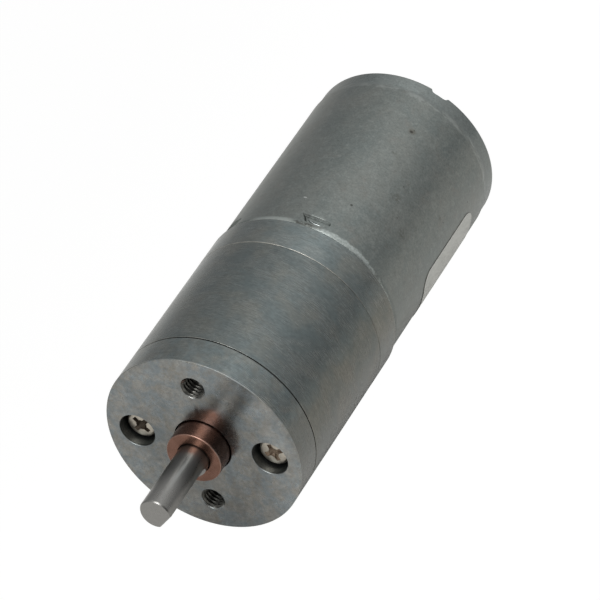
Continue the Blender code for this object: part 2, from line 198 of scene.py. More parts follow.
def block(name, size, centre, angle=0.0, bevel=0.0, matter=None, segments=3):
    """A block with rounded edges; size and centre are (across, y, out) at this angle."""
    bm = bmesh.new()
    bmesh.ops.create_cube(bm, size=1)
    for v in bm.verts:
        a, y, o = (c * s + m for c, s, m in zip(v.co, size, centre))
        v.co = local(angle, a, y, o)
    if bevel:
        bmesh.ops.bevel(
            bm,
            geom=bm.edges[:],
            offset=bevel * MM,
            segments=segments,
            profile=0.5,
            affect="EDGES",
        )
    return made(name, bm, matter)


def shaped(target, *tools, operation="DIFFERENCE"):
    """The target with these tools cut away or added, exactly; the tools are used up."""
    for tool in tools:
        if not tool.data.materials and target.data.materials:
            tool.data.materials.append(target.data.materials[0])
        step = target.modifiers.new("shape", "BOOLEAN")
        step.operation = operation
        step.object = tool
        step.solver = "MANIFOLD"
        step.material_mode = "TRANSFER"
    bpy.context.view_layer.update()
    graph = bpy.context.evaluated_depsgraph_get()
    mesh = bpy.data.meshes.new_from_object(target.evaluated_get(graph))
    target.modifiers.clear()
    old = target.data
    target.data = mesh
    bpy.data.meshes.remove(old)
    for tool in tools:
        data = tool.data
        bpy.data.objects.remove(tool, do_unlink=True)
        bpy.data.meshes.remove(data)
    return target


def completed(obj, slot, body, *nodes, angle=28.0):
    """Smooth shading with crisp edges, then the piece takes the CAD nodes' place on their body."""
    bm = bmesh.new()
    bm.from_mesh(obj.data)
    bmesh.ops.remove_doubles(bm, verts=bm.verts, dist=8e-7)
    bmesh.ops.dissolve_degenerate(bm, dist=8e-7, edges=bm.edges)
    bmesh.ops.recalc_face_normals(bm, faces=bm.faces)
    bm.to_mesh(obj.data)
    bm.free()
    obj.data.shade_smooth()
    obj.data.set_sharp_from_angle(angle=math.radians(angle))
    weigh = obj.modifiers.new("even_normals", "WEIGHTED_NORMAL")
    weigh.keep_sharp = True
    weigh.weight = 90
    if not obj.data.materials:
        obj.data.materials.append(MATTER[slot])
    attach(obj, body)
    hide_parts(*nodes)
    return obj


# ---------------------------------------------------------------- node helpers
class Paint:
    """Builds a procedural Principled material whose texture is fixed to the object's own space."""

    def __init__(self, name, metallic, roughness, ior=1.5):
        self.matter = bpy.data.materials.new(name)
        self.matter.use_nodes = True
        self.tree = self.matter.node_tree
        self.shader = self.tree.nodes["Principled BSDF"]
        self.shader.inputs["Metallic"].default_value = metallic
        self.shader.inputs["Roughness"].default_value = roughness
        self.shader.inputs["IOR"].default_value = ior
        self.place = self.node("ShaderNodeTexCoord").outputs["Object"]
        split = self.node("ShaderNodeSeparateXYZ", {"Vector": self.place})
        self.x, self.y, self.z = split.outputs
        self.height = None

    def node(self, kind, inputs=None, **settings):
        found = self.tree.nodes.new(kind)
        for key, value in settings.items():
            setattr(found, key, value)
        for key, value in (inputs or {}).items():
            socket = found.inputs[key]
            if isinstance(value, bpy.types.NodeSocket):
                self.tree.links.new(value, socket)
            else:
                socket.default_value = value
        return found

    def maths(self, operation, a, b=0.0, c=0.0, clamp=False):
        return self.node(
            "ShaderNodeMath", {0: a, 1: b, 2: c}, operation=operation, use_clamp=clamp
        ).outputs[0]

    def radius(self):
        """Distance from the Y axis, in mm."""
        flat = self.node("ShaderNodeCombineXYZ", {"X": self.x, "Z": self.z}).outputs[0]
        size = self.node("ShaderNodeVectorMath", {0: flat}, operation="LENGTH")
        return self.maths("MULTIPLY", size.outputs["Value"], 1000.0)

    def along(self):
        """Distance along Y, in mm."""
        return self.maths("MULTIPLY", self.y, 1000.0)

    def turn(self):
        """Degrees about Y, from +Z towards +X."""
        return self.maths("MULTIPLY", self.maths("ARCTAN2", self.x, self.z), 57.29578)

    def ramp(self, value, low, high, to_low=0.0, to_high=1.0, smooth=True):
        return self.node(
            "ShaderNodeMapRange",
            {"Value": value, "From Min": low, "From Max": high, "To Min": to_low, "To Max": to_high},
            interpolation_type="SMOOTHSTEP" if smooth else "LINEAR",
        ).outputs["Result"]

    def band(self, value, start, end, soft):
        """1 between start and end, 0 outside, with soft edges."""
        rise = self.ramp(value, start - soft, start + soft)
        fall = self.ramp(value, end - soft, end + soft, 1.0, 0.0)
        return self.maths("MULTIPLY", rise, fall)

    def gain(self, turn, *patches):
        """1, plus each patch's amount between its two angles, with soft ends."""
        total = 1.0
        for start, end, soft, amount in patches:
            patch = self.maths("MULTIPLY", self.band(turn, start, end, soft), amount)
            total = self.maths("ADD", patch, total)
        return total

    def noise(self, size, stretch=(1, 1, 1), detail=4.0, rough=0.55, shift=0.0, warp=0.0):
        """Noise whose features are about size mm, made longer along an axis by its stretch."""
        scale = tuple(1000.0 / size / s for s in stretch)
        mapped = self.node(
            "ShaderNodeMapping",
            {"Vector": self.place, "Scale": scale, "Location": (shift, shift * 0.7, shift * 1.3)},
        ).outputs[0]
        return self.node(
            "ShaderNodeTexNoise",
            {"Vector": mapped, "Scale": 1.0, "Detail": detail, "Roughness": rough, "Distortion": warp},
        ).outputs["Fac"]

    def cells(self, size, shift=0.0, randomness=1.0):
        scale = (1000.0 / size,) * 3
        mapped = self.node(
            "ShaderNodeMapping",
            {"Vector": self.place, "Scale": scale, "Location": (shift, shift * 0.6, shift * 1.7)},
        ).outputs[0]
        return self.node(
            "ShaderNodeTexVoronoi",
            {"Vector": mapped, "Scale": 1.0, "Randomness": randomness},
        ).outputs["Distance"]

    def spot(self, x, y, z, reach, soft):
        """1 within reach mm of this point, 0 outside."""
        far = self.node(
            "ShaderNodeVectorMath",
            {0: self.place, 1: (x * MM, y * MM, z * MM)},
            operation="DISTANCE",
        ).outputs["Value"]
        return self.ramp(far, (reach - soft) * MM, (reach + soft) * MM, 1.0, 0.0)

    def mix(self, share, a, b, how="MIX"):
        def colour(value):
            return (*value, 1.0) if isinstance(value, tuple) and len(value) == 3 else value

        return self.node(
            "ShaderNodeMix",
            {0: share, 6: colour(a), 7: colour(b)},
            data_type="RGBA",
            blend_type=how,
            clamp_factor=True,
        ).outputs[2]

    def scaled(self, colour, amount):
        """The colour times a number."""
        grey = self.node("ShaderNodeCombineXYZ", {"X": amount, "Y": amount, "Z": amount}).outputs[0]
        return self.mix(1.0, colour, grey, "MULTIPLY")

    def bumps(self, height, depth, strength=1.0):
        """Adds relief whose full height is depth, in mm."""
        inputs = {"Height": height, "Strength": strength, "Distance": depth * MM}
        if self.height is not None:
            inputs["Normal"] = self.height
        self.height = self.node("ShaderNodeBump", inputs).outputs[0]

    def finish(self, colour=None, roughness=None, metallic=None):
        links = self.tree.links
        if colour is not None:
            links.new(colour, self.shader.inputs["Base Color"])
        if roughness is not None:
            links.new(roughness, self.shader.inputs["Roughness"])
        if metallic is not None:
            links.new(metallic, self.shader.inputs["Metallic"])
        if self.height is not None:
            links.new(self.height, self.shader.inputs["Normal"])
        return self.matter


# ---------------------------------------------------------------- materials
def plain_metal(name, dark, light, rough, grain, stretch=(1, 1, 1), depth=0.004, blotch=1.6, swing=0.07):
    """A worn metal: two tints that drift over the piece, fine grain, and roughness that follows it."""
    p = Paint(name, 1.0, rough)
    drift = p.noise(blotch, detail=3, shift=3.1)
    fine = p.noise(grain, stretch, detail=5, rough=0.65, shift=7.7)
    colour = p.mix(p.ramp(drift, 0.32, 0.68), dark, light)
    colour = p.scaled(colour, p.ramp(fine, 0.2, 0.8, 0.86, 1.14, False))
    p.bumps(fine, depth)
    return p.finish(colour, p.ramp(drift, 0.3, 0.7, rough - swing, rough + swing))


def zinc_plate():
    p = Paint("zinc_plate", 1.0, 0.26)
    y, r, turn = p.along(), p.radius(), p.turn()
    cloud = p.noise(2.7, detail=5, rough=0.6, shift=1.7, warp=0.7)
    tone = p.noise(1.7, detail=4, rough=0.55, shift=9.2, warp=0.4)
    mottle = p.noise(0.55, detail=4, rough=0.65, shift=4.4, warp=0.3)
    grain = p.noise(0.17, detail=4, rough=0.7, shift=7.1)
    on_face = p.ramp(y, 0.2, 0.08)
    face = p.mix(p.ramp(tone, 0.36, 0.64), (0.158, 0.175, 0.183), (0.19, 0.188, 0.178))
    brown = p.ramp(p.noise(1.15, detail=4, rough=0.65, shift=12.3, warp=0.8), 0.53, 0.66, 0.0, 0.5)
    face = p.mix(brown, face, (0.175, 0.162, 0.139))
    blue = p.ramp(p.noise(1.4, detail=4, rough=0.65, shift=15.1, warp=0.8), 0.54, 0.67, 0.0, 0.3)
    face = p.mix(blue, face, (0.146, 0.172, 0.192))
    side = p.mix(p.ramp(tone, 0.28, 0.72), (0.12, 0.14, 0.142), (0.142, 0.148, 0.139))
    # The face is made brighter towards its edge, most of all beside the right screw; some sectors near the rim are
    # lighter, one is darker, and the left side near the bush is darker
    edge = p.ramp(r, 7.0, 11.2, 1.0, 1.15)
    outer = p.gain(turn, (36.0, 52.0, 6.0, 0.14), (92.0, 126.0, 8.0, 0.16), (142.0, 166.0, 8.0, -0.12))
    inner = p.gain(turn, (-128.0, -62.0, 12.0, -0.13))
    share = p.ramp(r, 6.8, 9.6)
    edge = p.maths("MULTIPLY", edge, p.maths("ADD", p.maths("MULTIPLY", share, outer), p.maths("MULTIPLY", p.maths("SUBTRACT", 1.0, share), inner)))
    beside = p.maths("MULTIPLY", p.band(turn, 64.0, 86.0, 8.0), p.band(r, 9.3, 11.7, 0.7))
    edge = p.maths("ADD", edge, p.maths("MULTIPLY", beside, 0.3))
    face = p.scaled(face, edge)
    colour = p.mix(on_face, side, face)
    colour = p.scaled(colour, p.ramp(cloud, 0.34, 0.66, 0.88, 1.12, False))
    colour = p.scaled(colour, p.ramp(mottle, 0.33, 0.67, 0.85, 1.15, False))
    streak = p.noise(0.16, (40, 1, 40), detail=4, rough=0.65, shift=2.2)
    lined = p.mix(on_face, streak, grain)
    amount = p.node("ShaderNodeSeparateColor", {"Color": lined}).outputs[0]
    colour = p.scaled(colour, p.ramp(amount, 0.25, 0.75, 0.9, 1.1, False))
    # Painted highlight: a lighter band along the front edge, broken up by noise
    fillet = p.maths("MULTIPLY", p.ramp(y, 0.12, 0.07), p.ramp(r, 12.38, 12.44))
    rim = p.maths("MULTIPLY", p.band(y, 0.0, 0.14, 0.05), p.ramp(r, 12.25, 12.4))
    rim = p.maths("MULTIPLY", rim, p.ramp(p.noise(1.3, detail=4, rough=0.7, shift=5.5), 0.36, 0.62, 0.2, 1.0))
    colour = p.mix(p.maths("MULTIPLY", rim, 0.3), colour, (0.24, 0.235, 0.205))
    # Painted shade: the narrow recess round the bush is darkened
    recess = p.maths("MULTIPLY", p.ramp(r, 3.74, 3.69), p.ramp(y, -0.01, 0.015))
    colour = p.mix(p.maths("MULTIPLY", recess, 0.68), colour, (0.045, 0.045, 0.042))
    # Painted light and shade on the plate's side by angle: a warm tint from 68° to 155°, and darkening on the right,
    # lower right and left
    painted_warm_side = p.maths("MULTIPLY", p.band(turn, 68.0, 155.0, 6.0), p.maths("SUBTRACT", 1.0, on_face))
    colour = p.mix(p.maths("MULTIPLY", painted_warm_side, 0.6), colour, (0.132, 0.128, 0.115))
    side_gain = p.gain(turn, (60.0, 150.0, 7.0, -0.12), (98.0, 150.0, 10.0, -0.1), (-150.0, -30.0, 10.0, -0.08))
    colour = p.mix(on_face, p.scaled(colour, side_gain), colour)
    # Small dark pits of the casting
    pits = p.ramp(p.cells(0.95, 3.0), 0.05, 0.09, 1.0, 0.0)
    some = p.ramp(p.noise(2.2, detail=2, shift=6.1), 0.53, 0.6)
    pits = p.maths("MULTIPLY", pits, some)
    colour = p.mix(p.maths("MULTIPLY", pits, 0.6), colour, (0.05, 0.05, 0.048))
    p.bumps(amount, 0.0009)
    p.bumps(mottle, 0.0015, 0.6)
    p.bumps(pits, 0.02, 0.8)
    rough = p.ramp(cloud, 0.3, 0.7, 0.225, 0.275)
    rough = p.maths("ADD", rough, p.ramp(amount, 0.3, 0.7, -0.02, 0.02))
    rough = p.maths("ADD", rough, p.maths("MULTIPLY", p.maths("SUBTRACT", 1.0, on_face), 0.02))
    rough = p.maths("ADD", rough, p.maths("MULTIPLY", p.maths("MAXIMUM", recess, fillet), 0.22))
    return p.finish(colour, rough)


def brushed_ring():
    p = Paint("brushed_ring", 1.0, 0.25)
    y, r, turn = p.along(), p.radius(), p.turn()
    streak = p.noise(0.12, (20, 1, 20), detail=5, rough=0.65, shift=2.9)
    dash = p.noise(0.2, (5, 1, 5), detail=5, rough=0.7, shift=8.3)
    cloud = p.noise(3.0, (1.5, 1, 1.5), detail=5, rough=0.6, shift=5.1, warp=0.6)
    mottle = p.noise(0.6, (1.6, 1, 1.6), detail=4, rough=0.65, shift=3.3)
    grain = p.noise(0.2, (2.5, 1, 2.5), detail=4, rough=0.7, shift=6.2)
    colour = p.mix(p.ramp(cloud, 0.3, 0.7), (0.1, 0.117, 0.118), (0.124, 0.134, 0.13))
    warm = p.ramp(p.noise(4.2, detail=3, shift=7.4), 0.46, 0.66, 0.0, 0.35)
    colour = p.mix(warm, colour, (0.15, 0.145, 0.127))
    lines = p.maths("ADD", p.maths("MULTIPLY", streak, 0.55), p.maths("MULTIPLY", dash, 0.45))
    colour = p.scaled(colour, p.ramp(lines, 0.32, 0.68, 0.75, 1.25, False))
    colour = p.scaled(colour, p.ramp(mottle, 0.25, 0.75, 0.91, 1.09, False))
    colour = p.scaled(colour, p.ramp(grain, 0.32, 0.68, 0.84, 1.16, False))
    # Painted light and shade on the ring by angle: a warm tint from 69° to 155°, and darkening on the right, lower
    # right and left
    colour = p.mix(p.band(turn, 69.0, 155.0, 7.0), colour, p.mix(1.0, colour, (1.07, 1.0, 0.93), "MULTIPLY"))
    colour = p.scaled(colour, p.gain(turn, (60.0, 150.0, 7.0, -0.14), (98.0, 150.0, 10.0, -0.12), (-150.0, -28.0, 10.0, -0.1)))
    # The rear plate is a little lighter, and a painted highlight lightens its top between -8° and 27°
    rear = p.ramp(y, RING_END - 0.01, RING_END + 0.03)
    back_gain = p.gain(turn, (-8.0, 27.0, 8.0, 0.2))
    colour = p.scaled(colour, p.mix(rear, (1.0, 1.0, 1.0), p.scaled((1.13, 1.13, 1.13), back_gain)))
    # Painted highlight lines along the front edge of the ring and the front edge of the rear plate, strongest on the
    # top and left, broken up by noise
    highlight_breakup = p.ramp(p.noise(1.6, (1, 1, 1), detail=4, shift=1.9), 0.36, 0.6, 0.25, 1.0)
    first = p.maths("MULTIPLY", p.band(y, PLATE_END + 0.03, PLATE_END + 0.12, 0.03), p.maths("ADD", 0.3, p.maths("MULTIPLY", p.band(turn, -150.0, 5.0, 12.0), 0.5)))
    second = p.maths("MULTIPLY", p.band(y, RING_END - 0.02, RING_END + 0.09, 0.02), p.maths("ADD", 0.15, p.maths("MULTIPLY", p.band(turn, -120.0, 60.0, 22.0), 0.85)))
    edges = p.maths("MULTIPLY", p.maths("ADD", first, second, clamp=True), highlight_breakup)
    colour = p.mix(p.maths("MULTIPLY", edges, 0.75), colour, (0.36, 0.345, 0.31))
    p.bumps(lines, 0.004)
    p.bumps(grain, 0.002, 0.6)
    rough = p.ramp(cloud, 0.3, 0.7, 0.235, 0.285)
    rough = p.maths("ADD", rough, p.ramp(lines, 0.3, 0.7, -0.03, 0.03))
    rough = p.maths("SUBTRACT", rough, p.maths("MULTIPLY", rear, 0.02))
    rough = p.maths("ADD", rough, p.maths("MULTIPLY", p.band(y, RING_END, RING_END + 0.08, 0.02), 0.14))
    return p.finish(colour, rough)


def can_steel():
    p = Paint("can_steel", 1.0, 0.34)
    y, r, turn = p.along(), p.radius(), p.turn()
    speck = p.noise(0.26, detail=5, rough=0.75, shift=1.3)
    mottle = p.noise(0.85, detail=5, rough=0.65, shift=6.6, warp=0.5)
    cloud = p.noise(4.2, (1, 1.8, 1), detail=5, rough=0.6, shift=2.4, warp=0.6)
    colour = p.mix(p.ramp(cloud, 0.3, 0.7), (0.13, 0.145, 0.14), (0.158, 0.166, 0.156))
    colour = p.mix(p.ramp(mottle, 0.5, 0.68, 0.0, 0.5), colour, (0.19, 0.203, 0.193))
    colour = p.mix(p.ramp(mottle, 0.48, 0.34, 0.0, 0.35), colour, (0.115, 0.122, 0.114))
    warm = p.ramp(p.noise(1.9, detail=4, rough=0.6, shift=7.7), 0.54, 0.72, 0.0, 0.35)
    colour = p.mix(warm, colour, (0.15, 0.142, 0.13))
    # The necked rim is smoother, cooler and a little brighter; on it a painted highlight lightens the top and painted
    # shade darkens the left
    rim = p.ramp(p.maths("ADD", y, p.ramp(mottle, 0.3, 0.7, -0.3, 0.3, False)), 54.9, 55.7)
    colour = p.mix(p.maths("MULTIPLY", rim, 0.45), colour, (0.148, 0.166, 0.165))
    rim_gain = p.gain(turn, (-8.0, 19.0, 8.0, 0.26), (-80.0, -42.0, 5.0, -0.3))
    colour = p.mix(rim, colour, p.scaled(colour, rim_gain))
    colour = p.scaled(colour, p.ramp(speck, 0.28, 0.72, 0.76, 1.24, False))
    # Pale shoulder: a smooth pale arc on the left, a rough one on the right of the top vent
    ragged = p.noise(0.6, detail=5, rough=0.75, shift=4.9)
    crumb = p.noise(0.33, detail=4, rough=0.7, shift=8.8)
    smooth_arc = p.maths("MULTIPLY", p.band(turn, -25.0, 1.0, 5.0), p.ramp(y, 28.05, 27.7))
    limit = p.maths("ADD", 28.08, p.ramp(ragged, 0.3, 0.7, -0.22, 0.22, False))
    limit = p.maths("SUBTRACT", limit, p.ramp(turn, 40.0, 70.0, 0.0, 0.55))
    limit = p.maths("SUBTRACT", limit, p.ramp(turn, 14.0, 29.0, 0.4, 0.0))
    rough_arc = p.maths("MULTIPLY", p.band(turn, 17.0, 78.0, 7.0), p.ramp(p.maths("SUBTRACT", y, limit), -0.16, 0.12, 1.0, 0.0))
    rough_arc = p.maths("MULTIPLY", rough_arc, p.ramp(crumb, 0.34, 0.6, 0.45, 1.0))
    shoulder = p.maths("MAXIMUM", p.maths("MULTIPLY", smooth_arc, 0.55), rough_arc)
    shoulder = p.maths("MULTIPLY", shoulder, p.ramp(r, 11.2, 11.7))
    colour = p.mix(p.maths("MULTIPLY", shoulder, 0.85), colour, (0.345, 0.372, 0.36))
    # A near-black patch on the shoulder just behind the rear plate, between 3° and 14.5°
    shoulder_dark_patch = p.maths("MULTIPLY", p.band(turn, 3.0, 14.5, 2.0), p.band(y, 26.9, 27.78, 0.1))
    shoulder_dark_patch = p.maths("MULTIPLY", shoulder_dark_patch, p.ramp(ragged, 0.4, 0.47))
    colour = p.mix(p.maths("MULTIPLY", shoulder_dark_patch, 0.8), colour, (0.05, 0.05, 0.045))
    # Painted shade in the left end of each vent pocket
    vent_end_shade = None
    for angle in VENT_ANGLES:
        low = angle if angle < 180 else angle - 360
        span = p.band(turn, low - 10.2, low - 4.2, 0.9)
        vent_end_shade = span if vent_end_shade is None else p.maths("MAXIMUM", vent_end_shade, span)
    vent_end_shade = p.maths("MULTIPLY", vent_end_shade, p.maths("MULTIPLY", p.band(y, 28.2, 29.32, 0.04), p.ramp(r, 12.2, 12.12)))
    colour = p.mix(p.maths("MULTIPLY", vent_end_shade, 0.45), colour, (0.035, 0.037, 0.036))
    # Painted light: the inside of each vent pocket is made lighter
    pocket = p.maths("MULTIPLY", p.band(y, 28.0, 29.4, 0.04), p.ramp(r, 12.17, 12.08))
    colour = p.scaled(colour, p.maths("ADD", 1.0, p.maths("MULTIPLY", pocket, 0.18)))
    # Soft scuffs with a painted highlight along the line where the rim is necked in, strongest on the top and right
    wander = p.maths("ADD", y, p.ramp(mottle, 0.3, 0.7, -0.22, 0.22, False))
    neck_scuff_and_highlight = p.band(wander, 54.75, 55.45, 0.28)
    neck_scuff_and_highlight = p.maths("MULTIPLY", neck_scuff_and_highlight, p.ramp(p.noise(0.9, (2, 1, 2), detail=4, rough=0.7, shift=3.9), 0.38, 0.62))
    neck_scuff_and_highlight = p.maths("MULTIPLY", neck_scuff_and_highlight, p.maths("MAXIMUM", p.band(turn, -15.0, 95.0, 10.0), 0.3))
    colour = p.mix(p.maths("MULTIPLY", neck_scuff_and_highlight, 0.62), colour, (0.27, 0.285, 0.275))
    # Two brownish stains on the upper right
    for angle, along, size in ((59.7, 35.3, 0.75), (44.0, 38.8, 0.55), (29.0, 44.6, 0.4), (74.6, 43.0, 0.35)):
        px, pz = polar(CAN_R, angle)
        blot = p.maths("MULTIPLY", p.spot(px, along, pz, size, size * 0.7), p.ramp(crumb, 0.38, 0.6))
        colour = p.mix(p.maths("MULTIPLY", blot, 0.5), colour, (0.07, 0.066, 0.056))
    # A few pits and one short scratch
    pits = None
    for angle, along, size in (
        (30.1, 49.25, 0.2),
        (31.0, 49.7, 0.07),
        (25.6, 33.5, 0.15),
        (86.7, 49.7, 0.12),
        (78.7, 43.2, 0.1),
        (51.0, 36.5, 0.09),
        (44.0, 41.0, 0.07),
        (-31.0, 44.0, 0.1),
        (205.0, 40.0, 0.14),
        (251.0, 52.0, 0.12),
    ):
        px, pz = polar(CAN_R, angle)
        one = p.spot(px, along, pz, size, size * 0.5)
        pits = one if pits is None else p.maths("MAXIMUM", pits, one)
    hx, hz = polar(CAN_R, 30.3)
    colour = p.mix(p.maths("MULTIPLY", p.spot(hx, 49.35, hz, 0.42, 0.3), 0.5), colour, (0.075, 0.062, 0.045))
    colour = p.mix(p.maths("MULTIPLY", pits, 0.8), colour, (0.035, 0.033, 0.03))
    freckles = p.maths("MULTIPLY", p.ramp(p.cells(0.9, 5.0), 0.05, 0.11, 1.0, 0.0), p.ramp(p.noise(3.0, detail=2, shift=2.7), 0.48, 0.58))
    colour = p.mix(p.maths("MULTIPLY", freckles, 0.5), colour, (0.06, 0.058, 0.052))
    nick = p.maths("MULTIPLY", p.band(turn, -0.9, 0.9, 0.3), p.band(y, 31.95, 32.1, 0.05))
    colour = p.mix(nick, colour, (0.42, 0.43, 0.42))
    p.bumps(speck, 0.007)
    p.bumps(mottle, 0.012, 0.6)
    p.bumps(p.maths("ADD", p.maths("MULTIPLY", rough_arc, crumb), p.maths("MULTIPLY", neck_scuff_and_highlight, 0.3)), 0.03, 0.7)
    p.bumps(p.maths("SUBTRACT", 1.0, pits), 0.03)
    rough = p.ramp(cloud, 0.3, 0.7, 0.325, 0.385)
    rough = p.maths("ADD", rough, p.ramp(speck, 0.25, 0.75, -0.04, 0.04))
    rough = p.maths("ADD", rough, p.maths("MULTIPLY", shoulder, 0.06))
    rough = p.maths("SUBTRACT", rough, p.maths("MULTIPLY", rim, 0.03))
    rough = p.maths("ADD", rough, p.maths("MULTIPLY", p.band(y, 54.9, 55.9, 0.2), 0.1))
    return p.finish(colour, rough)


def shaft_steel():
    p = Paint("shaft_steel", 1.0, 0.25)
    ground = p.noise(0.09, (1, 60, 1), detail=4, rough=0.6, shift=2.0)
    soft = p.noise(1.6, (1, 4, 1), detail=4, shift=5.0)
    grain = p.noise(0.14, detail=3, rough=0.6, shift=8.0)
    colour = p.mix(p.ramp(soft, 0.3, 0.7), (0.168, 0.164, 0.157), (0.192, 0.188, 0.181))
    tip = p.ramp(p.along(), -SHAFT_OUT + 0.05, -SHAFT_OUT + 0.02)
    colour = p.mix(tip, colour, (0.225, 0.221, 0.214))
    # Painted light: the shaft is made lighter towards the bush
    colour = p.scaled(colour, p.ramp(p.along(), -7.0, -3.8, 1.0, 1.22))
    colour = p.scaled(colour, p.ramp(ground, 0.25, 0.75, 0.95, 1.05, False))
    colour = p.scaled(colour, p.ramp(grain, 0.2, 0.8, 0.96, 1.04, False))
    p.bumps(ground, 0.0004)
    rough = p.ramp(soft, 0.3, 0.7, 0.275, 0.3)
    return p.finish(colour, p.maths("ADD", rough, p.ramp(grain, 0.3, 0.7, -0.01, 0.01)))


def sintered_bronze():
    p = Paint("sintered_bronze", 1.0, 0.3)
    pores = p.cells(0.16, 2.0)
    fine = p.noise(0.16, detail=5, rough=0.75, shift=1.1)
    cloud = p.noise(1.2, detail=4, shift=6.2)
    tool = p.noise(0.07, (40, 1, 40), detail=3, shift=4.1)
    colour = p.mix(p.ramp(cloud, 0.32, 0.68), (0.155, 0.078, 0.057), (0.205, 0.108, 0.083))
    colour = p.scaled(colour, p.ramp(fine, 0.25, 0.75, 0.88, 1.12, False))
    colour = p.scaled(colour, p.ramp(tool, 0.3, 0.7, 0.93, 1.07, False))
    hole = p.maths("MULTIPLY", p.ramp(pores, 0.12, 0.22, 1.0, 0.0), p.ramp(fine, 0.45, 0.6))
    colour = p.mix(p.maths("MULTIPLY", hole, 0.5), colour, (0.04, 0.018, 0.012))
    # Painted highlight: a lighter rim at the outer edge of the front face
    rim = p.maths("MULTIPLY", p.ramp(p.along(), -BUSH_OUT + 0.16, -BUSH_OUT + 0.08), p.ramp(p.radius(), 3.36, 3.42))
    colour = p.mix(p.maths("MULTIPLY", rim, 0.3), colour, (0.4, 0.27, 0.22))
    front = p.ramp(p.along(), -BUSH_OUT + 0.04, -BUSH_OUT + 0.01)
    # Painted shade: the bush's side is darker and bluer from 46° to 92°
    bush_side_shade = p.maths("MULTIPLY", p.band(p.turn(), 46.0, 92.0, 10.0), p.maths("SUBTRACT", 1.0, front))
    colour = p.mix(bush_side_shade, colour, p.mix(1.0, colour, (0.58, 0.72, 0.8), "MULTIPLY"))
    # The front face is made a little darker, and a painted highlight lightens it from -18° to 62°
    colour = p.mix(front, colour, p.mix(1.0, colour, (0.8, 0.81, 0.79), "MULTIPLY"))
    lifted = p.maths("MULTIPLY", front, p.band(p.turn(), -18.0, 62.0, 12.0))
    colour = p.scaled(colour, p.maths("ADD", 1.0, p.maths("MULTIPLY", lifted, 0.4)))
    # Painted shade: the front face is darkened round the bore on its upper and right side
    well = p.maths("MULTIPLY", p.ramp(p.radius(), 2.14, 2.4, 1.0, 0.0), p.band(p.turn(), -45.0, 110.0, 18.0))
    colour = p.scaled(colour, p.maths("SUBTRACT", 1.0, p.maths("MULTIPLY", p.maths("MULTIPLY", front, well), 0.55)))
    p.bumps(fine, 0.003)
    p.bumps(p.maths("SUBTRACT", 1.0, hole), 0.006, 0.6)
    rough = p.ramp(fine, 0.3, 0.7, 0.25, 0.34)
    return p.finish(colour, rough)


def screw_nickel():
    p = Paint("screw_nickel", 1.0, 0.36)
    fine = p.noise(0.14, detail=4, rough=0.7, shift=3.0)
    cloud = p.noise(0.8, detail=4, shift=1.0)
    colour = p.mix(p.ramp(cloud, 0.32, 0.68), (0.33, 0.3, 0.255), (0.45, 0.415, 0.36))
    colour = p.scaled(colour, p.ramp(fine, 0.25, 0.75, 0.86, 1.14, False))
    # Painted shade: the head darkens from its edge down its side into the counterbore
    edge = p.ramp(p.along(), 1.24, 1.45)
    colour = p.mix(p.maths("MULTIPLY", edge, 0.45), colour, (0.2, 0.185, 0.145))
    p.bumps(fine, 0.005)
    return p.finish(colour, p.ramp(cloud, 0.3, 0.7, 0.31, 0.44))


def recess_soot():
    """Grime in the cross recesses: darker in the left screw, drier and browner in the right one."""
    p = Paint("recess_soot", 0.6, 0.55)
    fine = p.noise(0.16, detail=5, rough=0.8, shift=2.0)
    right = p.ramp(p.maths("MULTIPLY", p.x, 1000.0), -4.0, 4.0)
    low = p.mix(right, (0.028, 0.021, 0.014), (0.075, 0.054, 0.036))
    high = p.mix(right, (0.085, 0.063, 0.044), (0.24, 0.18, 0.13))
    colour = p.mix(p.ramp(fine, 0.36, 0.68), low, high)
    p.bumps(fine, 0.025)
    return p.finish(colour, p.ramp(fine, 0.3, 0.7, 0.42, 0.66))


def thread_dark():
    p = Paint("thread_dark", 1.0, 0.27)
    fine = p.noise(0.2, detail=4, rough=0.7, shift=5.0)
    colour = p.mix(p.ramp(fine, 0.35, 0.65), (0.058, 0.058, 0.053), (0.108, 0.106, 0.096))
    # Painted shade: the threads darken deeper into the hole
    deep = p.ramp(p.along(), 0.5, 2.6, 1.0, 0.45)
    colour = p.scaled(colour, deep)
    p.bumps(fine, 0.003)
    return p.finish(colour, p.ramp(fine, 0.3, 0.7, 0.28, 0.38))


def bore_dark():
    """Walls of the screw holes and counterbores: matt and oiled, with painted shade that darkens them as they go in."""
    p = Paint("bore_dark", 1.0, 0.4)
    fine = p.noise(0.22, (1, 1, 1), detail=4, rough=0.7, shift=6.0)
    lines = p.noise(0.1, (20, 1, 20), detail=3, shift=3.0)
    colour = p.mix(p.ramp(fine, 0.35, 0.65), (0.125, 0.137, 0.139), (0.185, 0.195, 0.19))
    colour = p.scaled(colour, p.ramp(p.along(), 0.1, 1.7, 1.0, 0.5))
    colour = p.scaled(colour, p.ramp(lines, 0.3, 0.7, 0.88, 1.12, False))
    p.bumps(lines, 0.006)
    return p.finish(colour, p.ramp(fine, 0.3, 0.7, 0.34, 0.46))


def black_plastic():
    p = Paint("black_plastic", 0.0, 0.48)
    fine = p.noise(0.18, detail=4, rough=0.7, shift=1.0)
    cloud = p.noise(3.0, detail=3, shift=2.0)
    colour = p.mix(p.ramp(cloud, 0.35, 0.65), (0.016, 0.016, 0.017), (0.026, 0.026, 0.027))
    p.bumps(fine, 0.01, 0.6)
    return p.finish(colour, p.ramp(fine, 0.3, 0.7, 0.42, 0.56))


